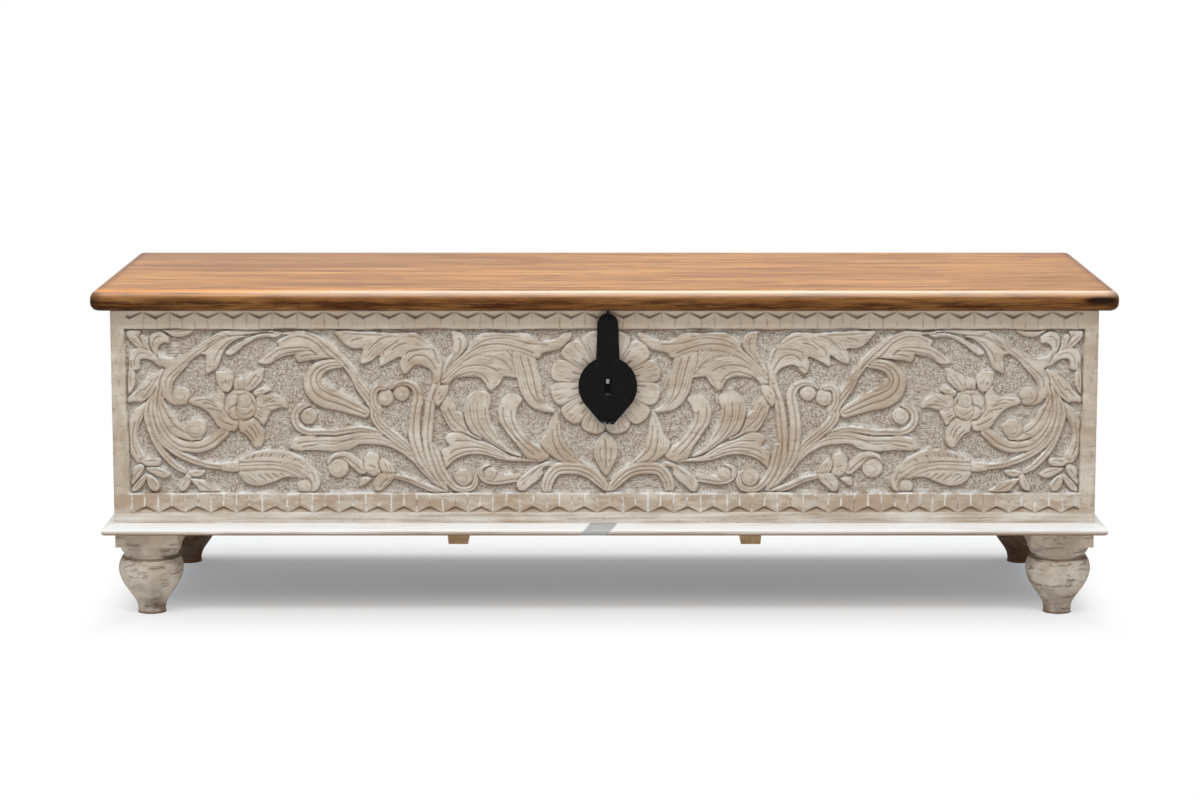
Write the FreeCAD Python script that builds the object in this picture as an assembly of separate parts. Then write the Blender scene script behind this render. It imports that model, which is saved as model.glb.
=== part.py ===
import FreeCAD, Part
import math
import os

os.makedirs("parts", exist_ok=True)
V = FreeCAD.Vector
X, Y, Z = V(1, 0, 0), V(0, 1, 0), V(0, 0, 1)

# Carcass, millimetres; X runs along the length, the carved front faces -Y, the floor is z = 0
CASE_LENGTH = 1326.0
CASE_DEPTH = 434.0
CASE_HEIGHT = 306.0
FRONT_THICK = 25.0
BACK_THICK = 20.0
SIDE_THICK = 20.0
FLOOR_THICK = 12.0
FLOOR_BOARDS = 3

# Carved front: plain stiles, zigzag bands above and below a sunk field, a rosette left standing
STILE_WIDTH = 22.0
TOP_BAND = 27.0
BOTTOM_BAND = 26.5
SKIRT_HEIGHT = 29.5
FIELD_DEPTH = 8.0
ZIGZAG_PITCH = 34.8
ZIGZAG_GAP = 3.0
ZIGZAG_RISE = 8.5
ZIGZAG_MARGIN = 4.0
ZIGZAG_DEPTH = 2.5
ROSETTE_PETALS = 12
ROSETTE_RADIUS = 73.0
ROSETTE_PETAL_RADIUS = 18.5
ROSETTE_X = 2.5
ROSETTE_BELOW_RIM = 101.0

# Leaf carving, drawn for the left half of the field: x from the middle and z above the floor, with / at
# each sharp point of a leaf, a half width along each stem and blade, and a radius for each ball
DRAWN_HALF = 641.0
DRAWN_LOW = 172.0
DRAWN_TOP = 395.0
RIGHT_HAND_DRIFT = 8.0
SMALLEST_POCKET = 130.0
STILE_LEAVES = (
    "-613,301 -632,285 -646,264 -646,235 -630,212 / -618,218 -629,246 -624,270 -610,296 -598,327",
    "-606,362 -625,370 -646,362 -646,335 -643,306 / -632,318 -632,338 -625,346 -614,354 -599,346 -592,347",
    "-616,330 -630,313 -646,297 / -625,295 -609,307 -598,322 -594,338",
    "-611,376 -606,389 -594,391 -584,381 / -590,375 -598,371 -605,360")
STILE_STEMS = (
    "-597,330,5 -613,293,5 -610,254,5 -591,221,5 -566,201,3",
    "-596,330,5 -607,290,5.5 -602,256,5.5 -581,230,5.4 -551,215,5 -513,208,5",
    "-594,330,5 -602,292,7 -595,262,7.4 -573,238,7.6 -546,235,8.5 -513,255,7",
    "-592,330,3.3 -597,299,4.5 -587,273,8.7 -569,255,9 -547,249,5")
ARCH_LEAVES = (
    "-521,378 -542,361 -565,341 -581,321 -578,301 -562,297 / -575,290 -594,303 -597,327 -594,344 -600,366 / "
    "-585,357 -565,362 -529,384 -505,395 -492,388",
    "-504,374 -516,354 -523,340 -536,333 / -536,350 -541,362 / -528,376 -504,386 -480,386",
    "-460,389 -493,375 -511,362 / -495,363 -480,375 -454,384 -434,388",
    "-434,388 -470,388 -515,391 / -515,400 / -409,400 / -409,393")
BRANCH_LEAVES = (
    "-448,366 -438,375 -417,390 -400,392 -378,384 -349,360 -319,315 / -329,308 / "
    "-344,333 -362,354 -385,354 -408,350 / -416,361 / -431,358 -449,348 -466,350",
    "-417,246 -394,251 -360,250 -320,255 -285,244 -249,210 / -271,224 -296,236 -330,238 -364,228 -424,232",
    "-495,212 -478,226 -445,232 -414,224 -391,205 -384,180 -393,170 / -405,171 -413,178 -413,190 / "
    "-434,192 -466,181 -486,186 -495,200")
BRANCH_STEMS = (
    "-359,348,6.7 -386,339,9.5 -394,326,11.6 -376,301,16.7 -344,289,9.8 -328,280,5.6",
    "-398,292,2.2 -416,281,5.4 -409,259,5.4 -383,255,5 -343,258,5 -302,254,4.5",
    "-348,345,1 -328,316,6.9 -308,287,8 -300,263,7 -273,241,6.7 -249,210,5 -219,177,3.3",
    "-518,208,6 -492,208,7")
ACANTHUS_LEAVES = (
    "-357,383 -345,371 -325,368 / -328,350 / -315,351 -303,359 / -302,344 / -290,350 -274,357 / -272,334 / "
    "-258,343 -243,344 -228,326 / -217,338 -224,366 -246,386 -266,399 / -361,399",
    "-206,363 -204,380 -206,399 / -190,399 / -185,374 -198,354 -219,336",
    "-203,350 -182,372 -155,399 / -102,399 / -86,379 -66,382 -45,391 / -56,370 -92,354 -84,322 -77,291 "
    "-67,283 / -95,287 -115,314 -122,330 -135,330 / -153,310 / -162,325 -181,330 -203,327 -219,320")
ACANTHUS_STEMS = (
    "-286,315,2.2 -266,322,4.7 -252,306,7 -256,270,7.8 -252,235,8 -236,202,6 -211,172,2.2",
    "-224,332,7.4 -234,294,6.9 -239,254,7.4 -234,217,6.2 -211,171,2",
    "-295,316,3.3 -310,310,4.9 -311,298,4.7 -303,280,2.2")
FAN_LEAVES = (
    "-199,287 -188,269 -166,246 / -195,254 -216,273 -222,290 -210,305",
    "-141,246 -156,275 -153,300 -163,311 / -178,310 -190,290 -187,268 -166,247 -110,221",
    "-99,243 -118,270 -110,300 / -128,307 -143,286 -137,261 -117,235 -92,216 / -74,224",
    "-29,216 -52,240 -60,268 -66,282 / -79,252 -86,238 / -62,216 -40,204 2,189",
    "-126,224 -160,240 -190,253 -211,250 -210,236 / -221,226 -215,206 / -193,221 -165,224 -130,215 -92,215",
    "-74,215 -98,205 -119,188 -115,173 / -101,180 -83,197 -75,207 -60,204")
FAN_STEMS = (
    "-232,236,4.9 -220,203,5.8 -200,178,5 -178,180,4.5 -176,197,2.9 -183,203,1.6",
    "-118,193,6.9 -139,190,6.9 -161,191,5.4 -167,204,3.6 -154,210,1.1",
    "-284,195,3.8 -243,181,4.7 -211,171,1.1",
    "-367,217,4.5 -344,221,5.6 -326,203,6.7",
    "5,170,2.9 -17,197,8.2 -48,206,8.6 -74,193,8.2 -78,170,6.2")
SPRAY_BLADES = (
    "-628,214 -599,214 6", "-624,210 -640,184 5", "-620,205 -587,197 6", "-618,198 -638,173 5",
    "-617,197 -605,174 8", "-564,200 -540,200 5", "-562,198 -573,174 6", "-557,190 -521,174 7",
    "-606,361 -640,391 8", "-222,290 -214,320 8")
CENTRE_BLADE = "2,195 1,256 16"
BLOSSOM_BLADES = (
    "-487,293 -560,297 12", "-487,293 -512,337 11", "-487,293 -459,341 11", "-487,293 -426,289 11",
    "-487,293 -457,265 10", "-487,293 -466,233 13", "-480,290 -503,257 12")
BUD_BLADES = ("-310,193 -316,228 10", "-284,198 -301,219 7", "-284,199 -309,172 10")
BALLS = (
    "-550,260 13.6", "-570,305 12.5", "-399,277 12", "-405,181 10.3", "-487,293 19", "-295,302 11.8",
    "-273,308 10.9", "-190,193 12.5", "-155,198 9.4", "-360,203 10.9")

# Lid boards with a rounded nose all round
LID_THICK = 28.0
LID_OVERHANG_SIDE = 25.0
LID_OVERHANG_FRONT = 23.0
LID_NOSE_TOP = 13.0
LID_NOSE_LOW = 10.0
LID_CORNER_RADIUS = 16.0
LID_BOARDS = 3
BATTEN_COUNT = 3
BATTEN_WIDTH = 40.0
BATTEN_THICK = 18.0
BATTEN_END_DISTANCE = 233.0
BATTEN_FRONT_GAP = 17.0
BATTEN_BACK_GAP = 22.0

# Base moulding, mitred round the carcass
MOULDING_HEIGHT = 15.0
MOULDING_PROJECTION = 16.4
MOULDING_NOSE = 10.5
MOULDING_LIP = 1.5

# Turned feet, radii and heights of the turning
FOOT_HEIGHT = 116.0
FOOT_BLOCK_WIDTH = 85.0
FOOT_BLOCK_HEIGHT = 19.0
FOOT_INSET = 0.5
BACK_FOOT_INSET = 8.5
FOOT_SOLE_RADIUS = 19.2
FOOT_ANKLE_RADIUS = 20.8
FOOT_ANKLE_HEIGHT = 15.0
FOOT_SWELL_RADIUS = 31.0
FOOT_SWELL_HEIGHT = 30.5
FOOT_BULB_RADIUS = 43.7
FOOT_BULB_HEIGHT = 57.0
FOOT_NECK_RADIUS = 36.0
FOOT_NECK_HEIGHT = 82.0
FOOT_COLLAR_RADIUS = 42.0
FOOT_STUD_RADIUS = 5.0
FOOT_STUD_IN_FOOT = 55.0
FOOT_STUD_IN_BLOCK = 26.0
CORNER_BLOCK_LENGTH = 55.0
CORNER_BLOCK_DEPTH = 60.0
CORNER_BLOCK_HEIGHT = 35.0

# Floor bearers
BEARER_END_DISTANCE = 464.0
BEARER_WIDTH = 30.6
BEARER_HEIGHT = 19.0
BEARER_CHAMFER = 2.0

# Dowels between the panels
DOWEL_RADIUS = 4.0
DOWEL_IN_SIDE = 25.0
DOWEL_IN_PANEL = 10.0
DOWELS_PER_CORNER = 3

# Butt hinges
HINGE_COUNT = 3
HINGE_END_DISTANCE = 183.0
HINGE_LENGTH = 60.0
HINGE_LEAF_THICK = 2.0
HINGE_CASE_LEAF = 36.0
HINGE_LID_LEAF = 24.0
HINGE_KNUCKLE_RADIUS = 4.0
HINGE_KNUCKLE_GAP = 0.4
HINGE_PIN_RADIUS = 2.0
HINGE_PIN_FIT = 0.05
HINGE_PIN_OVERRUN = 2.0
HINGE_SCREWS = 3
LID_OPEN_ANGLE = 95.0

# Hasp hung on a wire eye, dropping over a low staple
HASP_X = 4.5
HASP_THICK = 2.5
HASP_TOP_WIDTH = 28.0
HASP_NECK_WIDTH = 31.5
HASP_BULB_RADIUS = 39.5
HASP_BULB_DROP = 98.0
HASP_TIP_WIDTH = 17.0
HASP_TIP_DROP = 149.0
HASP_LIP = 5.0
HASP_SLOT_WIDTH = 8.6
HASP_SLOT_ABOVE = 10.0
HASP_SLOT_BELOW = 13.0
HASP_EYE_WIRE = 1.5
HASP_EYE_RADIUS = 5.0
HASP_EYE_DROP = 7.0
HASP_EYE_LEG = 14.0
HASP_EYE_PLAY = 0.6
HASP_TOP_MARGIN = 2.2
FACE_PLAY = 0.5
STAPLE_WIDTH = 4.5
STAPLE_HEIGHT = 6.0
STAPLE_PROUD = 0.9
STAPLE_SPIKE = 18.0
STAPLE_PLATE_RADIUS = 17.0
STAPLE_PLATE_THICK = 1.6

# Slotted lid stays; pivot and stud lie at the same distance from the hinge line
STAY_FLOOR_GAP = 36.0
STAY_APEX_ANGLE = 14.0
STAY_PIVOT_DROP = 14.0
STAY_WIDTH = 16.0
STAY_THICK = 2.5
STAY_WALL_GAP = 3.0
STAY_PLAY = 0.4
STAY_STUD_RADIUS = 3.0
STAY_STUD_HEAD = 6.0
STAY_STUD_SPIKE = 14.0
STAY_RIVET_RADIUS = 2.5
STAY_RIVET_HEAD = 5.0
STAY_RIVET_FIT = 0.05
STAY_HEAD_THICK = 2.0
STAY_BRACKET_WIDTH = 36.0
STAY_BRACKET_REACH = 30.0

# Countersunk wood screws
SCREW_RADIUS = 1.6
SCREW_HEAD_RADIUS = 3.2
SCREW_HEAD_HEIGHT = 1.7
SCREW_LENGTH = 15.0
BIG_SCREW_RADIUS = 2.2
BIG_SCREW_HEAD_RADIUS = 4.4
BIG_SCREW_HEAD_HEIGHT = 2.4
BIG_SCREW_BITE = 14.0

# Levels and faces that follow from the sizes above
HALF_X = CASE_LENGTH / 2
HALF_Y = CASE_DEPTH / 2
BASE_Z = FOOT_HEIGHT
RIM_Z = BASE_Z + CASE_HEIGHT
FLOOR_Z = BASE_Z + FLOOR_THICK
INNER_X = HALF_X - SIDE_THICK
FIELD_HALF = HALF_X - STILE_WIDTH
FIELD_LOW = BASE_Z + SKIRT_HEIGHT + BOTTOM_BAND
FIELD_TOP = RIM_Z - TOP_BAND
STRETCH = FIELD_HALF / DRAWN_HALF
INNER_FRONT = -HALF_Y + FRONT_THICK
INNER_BACK = HALF_Y - BACK_THICK
HINGE_Y = HALF_Y + HINGE_KNUCKLE_RADIUS + HINGE_KNUCKLE_GAP
HINGE_Z = RIM_Z - HINGE_KNUCKLE_RADIUS - HINGE_KNUCKLE_GAP
LID_HALF_X = HALF_X + LID_OVERHANG_SIDE
LID_HALF_Y = HALF_Y + LID_OVERHANG_FRONT
FOOT_X = HALF_X - FOOT_INSET - FOOT_BLOCK_WIDTH / 2
BACK_FOOT_X = HALF_X - BACK_FOOT_INSET - FOOT_BLOCK_WIDTH / 2
FOOT_Y = HALF_Y - FOOT_INSET - FOOT_BLOCK_WIDTH / 2
EYE_Y = -HALF_Y - FACE_PLAY - HASP_EYE_WIRE - HASP_EYE_RADIUS
EYE_Z = RIM_Z - HASP_EYE_DROP
BULB_Z = EYE_Z - HASP_BULB_DROP + HASP_TOP_MARGIN
BATTEN_FRONT = INNER_FRONT + BATTEN_FRONT_GAP
BATTEN_BACK = INNER_BACK - BATTEN_BACK_GAP
STAY_HANG = RIM_Z - STAY_PIVOT_DROP - FLOOR_Z - STAY_FLOOR_GAP - STAY_WIDTH
STAY_RADIUS = STAY_HANG / (2 * math.sin(math.radians(STAY_APEX_ANGLE + LID_OPEN_ANGLE) / 2))
SIDES = (("left", -1), ("right", 1))
ENDS = (("front", -1), ("back", 1))


def box(x0, x1, y0, y1, z0, z1):
    return Part.makeBox(x1 - x0, y1 - y0, z1 - z0, V(x0, y0, z0))


def spread(count, spacing):
    return [(i - (count - 1) / 2) * spacing for i in range(count)]


def between_ends(count, end_distance):
    return spread(count, 2 * (HALF_X - end_distance) / (count - 1))


HINGES = between_ends(HINGE_COUNT, HINGE_END_DISTANCE)
BATTENS = between_ends(BATTEN_COUNT, BATTEN_END_DISTANCE)
BEARERS = between_ends(2, BEARER_END_DISTANCE)


def prism(points, along):
    return Part.Face(Part.makePolygon(points + points[:1])).extrude(along)


def joined(shapes):
    first = shapes[0]
    return first.multiFuse(shapes[1:]).removeSplitter() if len(shapes) > 1 else first


def without(shape, tools):
    return shape.cut(tools) if tools else shape


def keep(node, *solids):
    shape = solids[0] if len(solids) == 1 else Part.makeCompound(list(solids))
    shape.exportStep("parts/" + node + ".step")


def screw(head, direction, radius, head_radius, head_height, length):
    shank = Part.makeCylinder(radius, length - head_height, head + direction * head_height, direction)
    cone = Part.makeCone(head_radius, radius, head_height, head, direction)
    return cone.fuse(shank).removeSplitter()


def small_screw(head, direction):
    return screw(head, direction, SCREW_RADIUS, SCREW_HEAD_RADIUS, SCREW_HEAD_HEIGHT, SCREW_LENGTH)


def big_screw(head, direction, through):
    return screw(head, direction, BIG_SCREW_RADIUS, BIG_SCREW_HEAD_RADIUS, BIG_SCREW_HEAD_HEIGHT,
                 through + BIG_SCREW_BITE)


def panel_dowels():
    dowels = []
    for side, sx in SIDES:
        for face in (INNER_FRONT, INNER_BACK):
            inward = 1 if face == INNER_FRONT else -1
            start = face - inward * DOWEL_IN_PANEL
            for dz in spread(DOWELS_PER_CORNER, CASE_HEIGHT / (DOWELS_PER_CORNER + 1)):
                foot = V(sx * (HALF_X - SIDE_THICK / 2), start, BASE_Z + CASE_HEIGHT / 2 + dz)
                dowels.append(Part.makeCylinder(DOWEL_RADIUS, DOWEL_IN_PANEL + DOWEL_IN_SIDE, foot,
                                                Y * inward))
    return dowels


def foot_place(sx, sy):
    return V(sx * (FOOT_X if sy < 0 else BACK_FOOT_X), sy * FOOT_Y, 0)


def foot_studs():
    length = FOOT_STUD_IN_FOOT + FLOOR_THICK + FOOT_STUD_IN_BLOCK
    low = BASE_Z - FOOT_STUD_IN_FOOT
    return [Part.makeCylinder(FOOT_STUD_RADIUS, length, foot_place(sx, sy) + Z * low)
            for side, sx in SIDES for end, sy in ENDS]


def bearer_screws():
    screws = []
    board = (INNER_BACK - INNER_FRONT) / FLOOR_BOARDS
    for x in BEARERS:
        for dy in spread(FLOOR_BOARDS, board):
            head = V(x, (INNER_FRONT + INNER_BACK) / 2 + dy, BASE_Z - BEARER_HEIGHT)
            screws.append(screw(head, Z, BIG_SCREW_RADIUS, BIG_SCREW_HEAD_RADIUS, BIG_SCREW_HEAD_HEIGHT,
                                BEARER_HEIGHT + FLOOR_THICK * 0.75))
    return screws


def hinge_case_screws(x):
    z = HINGE_Z - HINGE_KNUCKLE_RADIUS - HINGE_CASE_LEAF / 2
    return [small_screw(V(x + dx, HALF_Y + HINGE_LEAF_THICK, z), -Y)
            for dx in spread(HINGE_SCREWS, HINGE_LENGTH / HINGE_SCREWS)]


def hinge_lid_screws(x):
    y = HALF_Y - HINGE_LID_LEAF / 2
    return [small_screw(V(x + dx, y, RIM_Z - HINGE_LEAF_THICK), Z)
            for dx in spread(HINGE_SCREWS, HINGE_LENGTH / HINGE_SCREWS)]


def knuckle_spans(x):
    third = HINGE_LENGTH / 3
    gap = HINGE_KNUCKLE_GAP / 2
    case = [(x - 1.5 * third, x - third / 2 - gap), (x + third / 2 + gap, x + 1.5 * third)]
    return case, [(x - third / 2 + gap, x + third / 2 - gap)]


def knuckles(spans, bore):
    tubes = []
    for x0, x1 in spans:
        foot = V(x0, HINGE_Y, HINGE_Z)
        tube = Part.makeCylinder(HINGE_KNUCKLE_RADIUS, x1 - x0, foot, X)
        tubes.append((tube, Part.makeCylinder(bore, x1 - x0, foot, X)))
    return tubes


def hinge_case_leaf(x):
    spans = knuckle_spans(x)[0]
    clear = HINGE_KNUCKLE_RADIUS + HINGE_KNUCKLE_GAP
    outer = HALF_Y + HINGE_LEAF_THICK
    low = HINGE_Z - HINGE_KNUCKLE_RADIUS - HINGE_CASE_LEAF
    parts = [box(x - HINGE_LENGTH / 2, x + HINGE_LENGTH / 2, HALF_Y, outer, low, HINGE_Z - clear)]
    parts += [box(x0, x1, HALF_Y, outer, HINGE_Z - clear, HINGE_Z) for x0, x1 in spans]
    tubes = knuckles(spans, HINGE_PIN_RADIUS)
    leaf = joined(parts + [tube for tube, bore in tubes])
    return without(leaf, [bore for tube, bore in tubes] + hinge_case_screws(x))


def hinge_lid_leaf(x):
    spans = knuckle_spans(x)[1]
    clear = HINGE_KNUCKLE_RADIUS + HINGE_KNUCKLE_GAP
    low = RIM_Z - HINGE_LEAF_THICK
    root = HINGE_Y - clear
    parts = [box(x - HINGE_LENGTH / 2, x + HINGE_LENGTH / 2, HALF_Y - HINGE_LID_LEAF, root, low, RIM_Z)]
    parts += [box(x0, x1, root, HINGE_Y, low, RIM_Z) for x0, x1 in spans]
    tubes = knuckles(spans, HINGE_PIN_RADIUS + HINGE_PIN_FIT)
    leaf = joined(parts + [tube for tube, bore in tubes])
    return without(leaf, [bore for tube, bore in tubes] + hinge_lid_screws(x))


def hinge_pin(x):
    length = HINGE_LENGTH + 2 * HINGE_PIN_OVERRUN
    return Part.makeCylinder(HINGE_PIN_RADIUS, length, V(x - length / 2, HINGE_Y, HINGE_Z), X)


def disc(centre, radius):
    return Part.Face(Part.Wire(Part.makeCircle(radius, centre, Y)))


def rosette():
    ring = ROSETTE_RADIUS - ROSETTE_PETAL_RADIUS
    centre = V(ROSETTE_X, -HALF_Y, RIM_Z - ROSETTE_BELOW_RIM)
    petals = [disc(centre, ring)]
    for i in range(ROSETTE_PETALS):
        turn = 2 * math.pi * (i + 0.5) / ROSETTE_PETALS
        middle = centre + V(ring * math.cos(turn), 0, ring * math.sin(turn))
        petals.append(disc(middle, ROSETTE_PETAL_RADIUS))
    return petals


def zigzag_chips():
    count = round(2 * FIELD_HALF / ZIGZAG_PITCH)
    pitch = 2 * FIELD_HALF / count
    half_chip = (pitch - ZIGZAG_GAP) / 2
    into = Y * ZIGZAG_DEPTH
    top = RIM_Z - ZIGZAG_MARGIN
    low = BASE_Z + SKIRT_HEIGHT
    chips = []
    for i in range(count):
        x = -FIELD_HALF + (i + 0.5) * pitch
        for z, tip in ((top, -ZIGZAG_RISE), (low, ZIGZAG_RISE)):
            corners = [V(x - half_chip, -HALF_Y, z), V(x + half_chip, -HALF_Y, z), V(x, -HALF_Y, z + tip)]
            chips.append(prism(corners, into))
    return chips


def drawn(place, hand):
    """A point of the drawing stretched to the field; the right hand is turned over and drifts outwards."""
    x, z = (float(part) for part in place.split(",")[:2])
    rise = (FIELD_TOP - FIELD_LOW) / (DRAWN_TOP - DRAWN_LOW)
    drift = RIGHT_HAND_DRIFT * math.sqrt(math.sin(math.pi * min(1, abs(x) / DRAWN_HALF)))
    across = x if hand < 0 else drift - x
    return V(across * STRETCH, -HALF_Y, FIELD_LOW + (z - DRAWN_LOW) * rise)


def flowing(points):
    """A straight edge through two points, a curved one through more."""
    if len(points) == 2:
        return Part.makeLine(*points)
    curve = Part.BSplineCurve()
    curve.interpolate(points)
    return curve.toShape()


def outlined(edges):
    return Part.Face(Part.Wire([flowing(edge) for edge in edges]))


def leaf(text, hand):
    sides = [[drawn(place, hand) for place in side.split()] for side in text.split("/")]
    starts = [side[-1] for side in sides[-1:] + sides[:-1]]
    return outlined([[start] + side for start, side in zip(starts, sides)])


def stem(text, hand):
    places = text.split()
    spine = [drawn(place, hand) for place in places]
    widths = [STRETCH * float(place.split(",")[2]) for place in places]
    left, right = [], []
    for i, (middle, half) in enumerate(zip(spine, widths)):
        run = spine[min(i + 1, len(spine) - 1)] - spine[max(i - 1, 0)]
        aside = run.cross(Y).normalize() * half
        left.append(middle + aside)
        right.insert(0, middle - aside)
    return outlined([left, [left[-1], right[0]], right, [right[-1], left[0]]])


def blade(text, hand):
    root, tip, half = text.split()
    root, tip = drawn(root, hand), drawn(tip, hand)
    aside = (tip - root).cross(Y).normalize() * STRETCH * float(half)
    middle = (root + tip) / 2
    edges = [Part.Arc(root, middle + aside, tip).toShape(), Part.Arc(tip, middle - aside, root).toShape()]
    return Part.Face(Part.Wire(edges))


def ball(text, hand):
    centre, radius = text.split()
    return disc(drawn(centre, hand), STRETCH * float(radius))


def ground_pockets():
    """The sunk ground between the leaves, each pocket cut down from the face."""
    forms = rosette() + [blade(CENTRE_BLADE, -1)]
    for hand in (-1, 1):
        for text in STILE_LEAVES + ARCH_LEAVES + BRANCH_LEAVES + ACANTHUS_LEAVES + FAN_LEAVES:
            forms.append(leaf(text, hand))
        for text in STILE_STEMS + BRANCH_STEMS + ACANTHUS_STEMS + FAN_STEMS:
            forms.append(stem(text, hand))
        for text in SPRAY_BLADES + BLOSSOM_BLADES + BUD_BLADES:
            forms.append(blade(text, hand))
        for text in BALLS:
            forms.append(ball(text, hand))
    low, top = V(FIELD_HALF, -HALF_Y, FIELD_LOW), V(FIELD_HALF, -HALF_Y, FIELD_TOP)
    across = X * 2 * FIELD_HALF
    field = Part.Face(Part.makePolygon([low - across, low, top, top - across, low - across]))
    ground = field.cut(forms)
    return [face.extrude(Y * FIELD_DEPTH) for face in ground.Faces if face.Area > SMALLEST_POCKET]


def front_panel():
    plank = box(-HALF_X, HALF_X, -HALF_Y, INNER_FRONT, BASE_Z, RIM_Z)
    tools = ground_pockets() + [hasp_staple()] + zigzag_chips() + panel_dowels()
    return without(plank, tools)


def back_panel():
    plank = box(-HALF_X, HALF_X, INNER_BACK, HALF_Y, BASE_Z, RIM_Z)
    tools = panel_dowels()
    for x in HINGES:
        tools.append(box(x - HINGE_LENGTH / 2 - HINGE_KNUCKLE_GAP, x + HINGE_LENGTH / 2 + HINGE_KNUCKLE_GAP,
                         INNER_BACK, HALF_Y, RIM_Z - HINGE_LEAF_THICK - HINGE_KNUCKLE_GAP, RIM_Z))
        tools += hinge_case_screws(x)
    return without(plank, tools)


def side_panel(sx):
    x0, x1 = sorted((sx * INNER_X, sx * HALF_X))
    plank = box(x0, x1, INNER_FRONT, INNER_BACK, BASE_Z, RIM_Z)
    return without(plank, panel_dowels() + [stay_stud(sx)])


def floor_board(index):
    board = (INNER_BACK - INNER_FRONT) / FLOOR_BOARDS
    y0 = INNER_FRONT + index * board
    plank = box(-INNER_X, INNER_X, y0, y0 + board, BASE_Z, FLOOR_Z)
    return without(plank, foot_studs() + bearer_screws())


def floor_bearer(x):
    half = BEARER_WIDTH / 2
    low = BASE_Z - BEARER_HEIGHT
    section = [V(x - half, INNER_FRONT, BASE_Z), V(x + half, INNER_FRONT, BASE_Z),
               V(x + half - BEARER_CHAMFER, INNER_FRONT, low), V(x - half + BEARER_CHAMFER, INNER_FRONT, low)]
    return without(prism(section, Y * (INNER_BACK - INNER_FRONT)), bearer_screws())


def corner_block(sx, sy):
    x0, x1 = sorted((sx * INNER_X, sx * (INNER_X - CORNER_BLOCK_LENGTH)))
    wall = INNER_FRONT if sy < 0 else INNER_BACK
    y0, y1 = sorted((wall, wall - sy * CORNER_BLOCK_DEPTH))
    return without(box(x0, x1, y0, y1, FLOOR_Z, FLOOR_Z + CORNER_BLOCK_HEIGHT), foot_studs())


def turned_foot(sx, sy):
    block_z = FOOT_HEIGHT - FOOT_BLOCK_HEIGHT
    curve = Part.BSplineCurve()
    curve.interpolate([V(FOOT_SOLE_RADIUS, 0, 0), V(FOOT_ANKLE_RADIUS, 0, FOOT_ANKLE_HEIGHT),
                       V(FOOT_SWELL_RADIUS, 0, FOOT_SWELL_HEIGHT), V(FOOT_BULB_RADIUS, 0, FOOT_BULB_HEIGHT),
                       V(FOOT_NECK_RADIUS, 0, FOOT_NECK_HEIGHT)])
    belly = V((FOOT_NECK_RADIUS + FOOT_COLLAR_RADIUS) / 2 + 1, 0, (FOOT_NECK_HEIGHT + block_z) / 2 - 2)
    collar = Part.Arc(V(FOOT_NECK_RADIUS, 0, FOOT_NECK_HEIGHT), belly, V(FOOT_COLLAR_RADIUS, 0, block_z))
    edges = [Part.makeLine(V(0, 0, 0), V(FOOT_SOLE_RADIUS, 0, 0)), curve.toShape(), collar.toShape(),
             Part.makeLine(V(FOOT_COLLAR_RADIUS, 0, block_z), V(0, 0, block_z)),
             Part.makeLine(V(0, 0, block_z), V(0, 0, 0))]
    turning = Part.Face(Part.Wire(edges)).revolve(V(0, 0, 0), Z, 360)
    half = FOOT_BLOCK_WIDTH / 2
    foot = turning.fuse(box(-half, half, -half, half, block_z, FOOT_HEIGHT))
    foot.translate(foot_place(sx, sy))
    return without(foot, foot_studs())


def moulding_section():
    shoulder = MOULDING_PROJECTION - MOULDING_NOSE / 2
    sweep_low = V(0, shoulder, MOULDING_NOSE)
    nose = Part.Arc(V(0, shoulder, 0), V(0, MOULDING_PROJECTION, MOULDING_NOSE / 2), sweep_low)
    sweep_top = V(0, MOULDING_LIP, MOULDING_HEIGHT - MOULDING_LIP)
    sweep_mid = (sweep_low + sweep_top) * 0.5 + V(0, 1.0, 1.0)
    lip = V(0, MOULDING_LIP, MOULDING_HEIGHT)
    wall = V(0, 0, MOULDING_HEIGHT)
    edges = [Part.makeLine(V(0, 0, 0), V(0, shoulder, 0)), nose.toShape(),
             Part.Arc(sweep_low, sweep_mid, sweep_top).toShape(),
             Part.makeLine(sweep_top, lip), Part.makeLine(lip, wall), Part.makeLine(wall, V(0, 0, 0))]
    return Part.Face(Part.Wire(edges))


def moulding(length, wall):
    reach = length / 2 + MOULDING_PROJECTION
    strip = moulding_section().extrude(X * (2 * reach))
    strip.translate(V(-reach, 0, 0))
    mitre = [V(-length / 2, 0, 0), V(length / 2, 0, 0), V(reach, MOULDING_PROJECTION, 0),
             V(-reach, MOULDING_PROJECTION, 0)]
    strip = strip.common(prism(mitre, Z * MOULDING_HEIGHT))
    strip.translate(V(0, wall, BASE_Z))
    return strip


def turned(shape, angle):
    return shape.rotated(V(0, 0, 0), Z, angle)


def lid_slab():
    slab = box(-LID_HALF_X, LID_HALF_X, -LID_HALF_Y, LID_HALF_Y, RIM_Z, RIM_Z + LID_THICK)
    upright = [e for e in slab.Edges if abs(e.tangentAt(e.FirstParameter).z) > 0.9]
    slab = slab.makeFillet(LID_CORNER_RADIUS, upright)
    top = [e for e in slab.Edges if abs(e.CenterOfMass.z - RIM_Z - LID_THICK) < 0.01]
    slab = slab.makeFillet(LID_NOSE_TOP, top)
    low = [e for e in slab.Edges if abs(e.CenterOfMass.z - RIM_Z) < 0.01]
    return slab.makeFillet(LID_NOSE_LOW, low)


def batten_screws():
    screws = []
    for x in BATTENS:
        for dy in spread(LID_BOARDS, (BATTEN_BACK - BATTEN_FRONT) / LID_BOARDS):
            head = V(x, (BATTEN_FRONT + BATTEN_BACK) / 2 + dy, RIM_Z - BATTEN_THICK)
            screws.append(big_screw(head, Z, BATTEN_THICK))
    return screws


def lid_batten(x):
    half = BATTEN_WIDTH / 2
    plank = box(x - half, x + half, BATTEN_FRONT, BATTEN_BACK, RIM_Z - BATTEN_THICK, RIM_Z)
    return without(plank, batten_screws())


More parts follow.
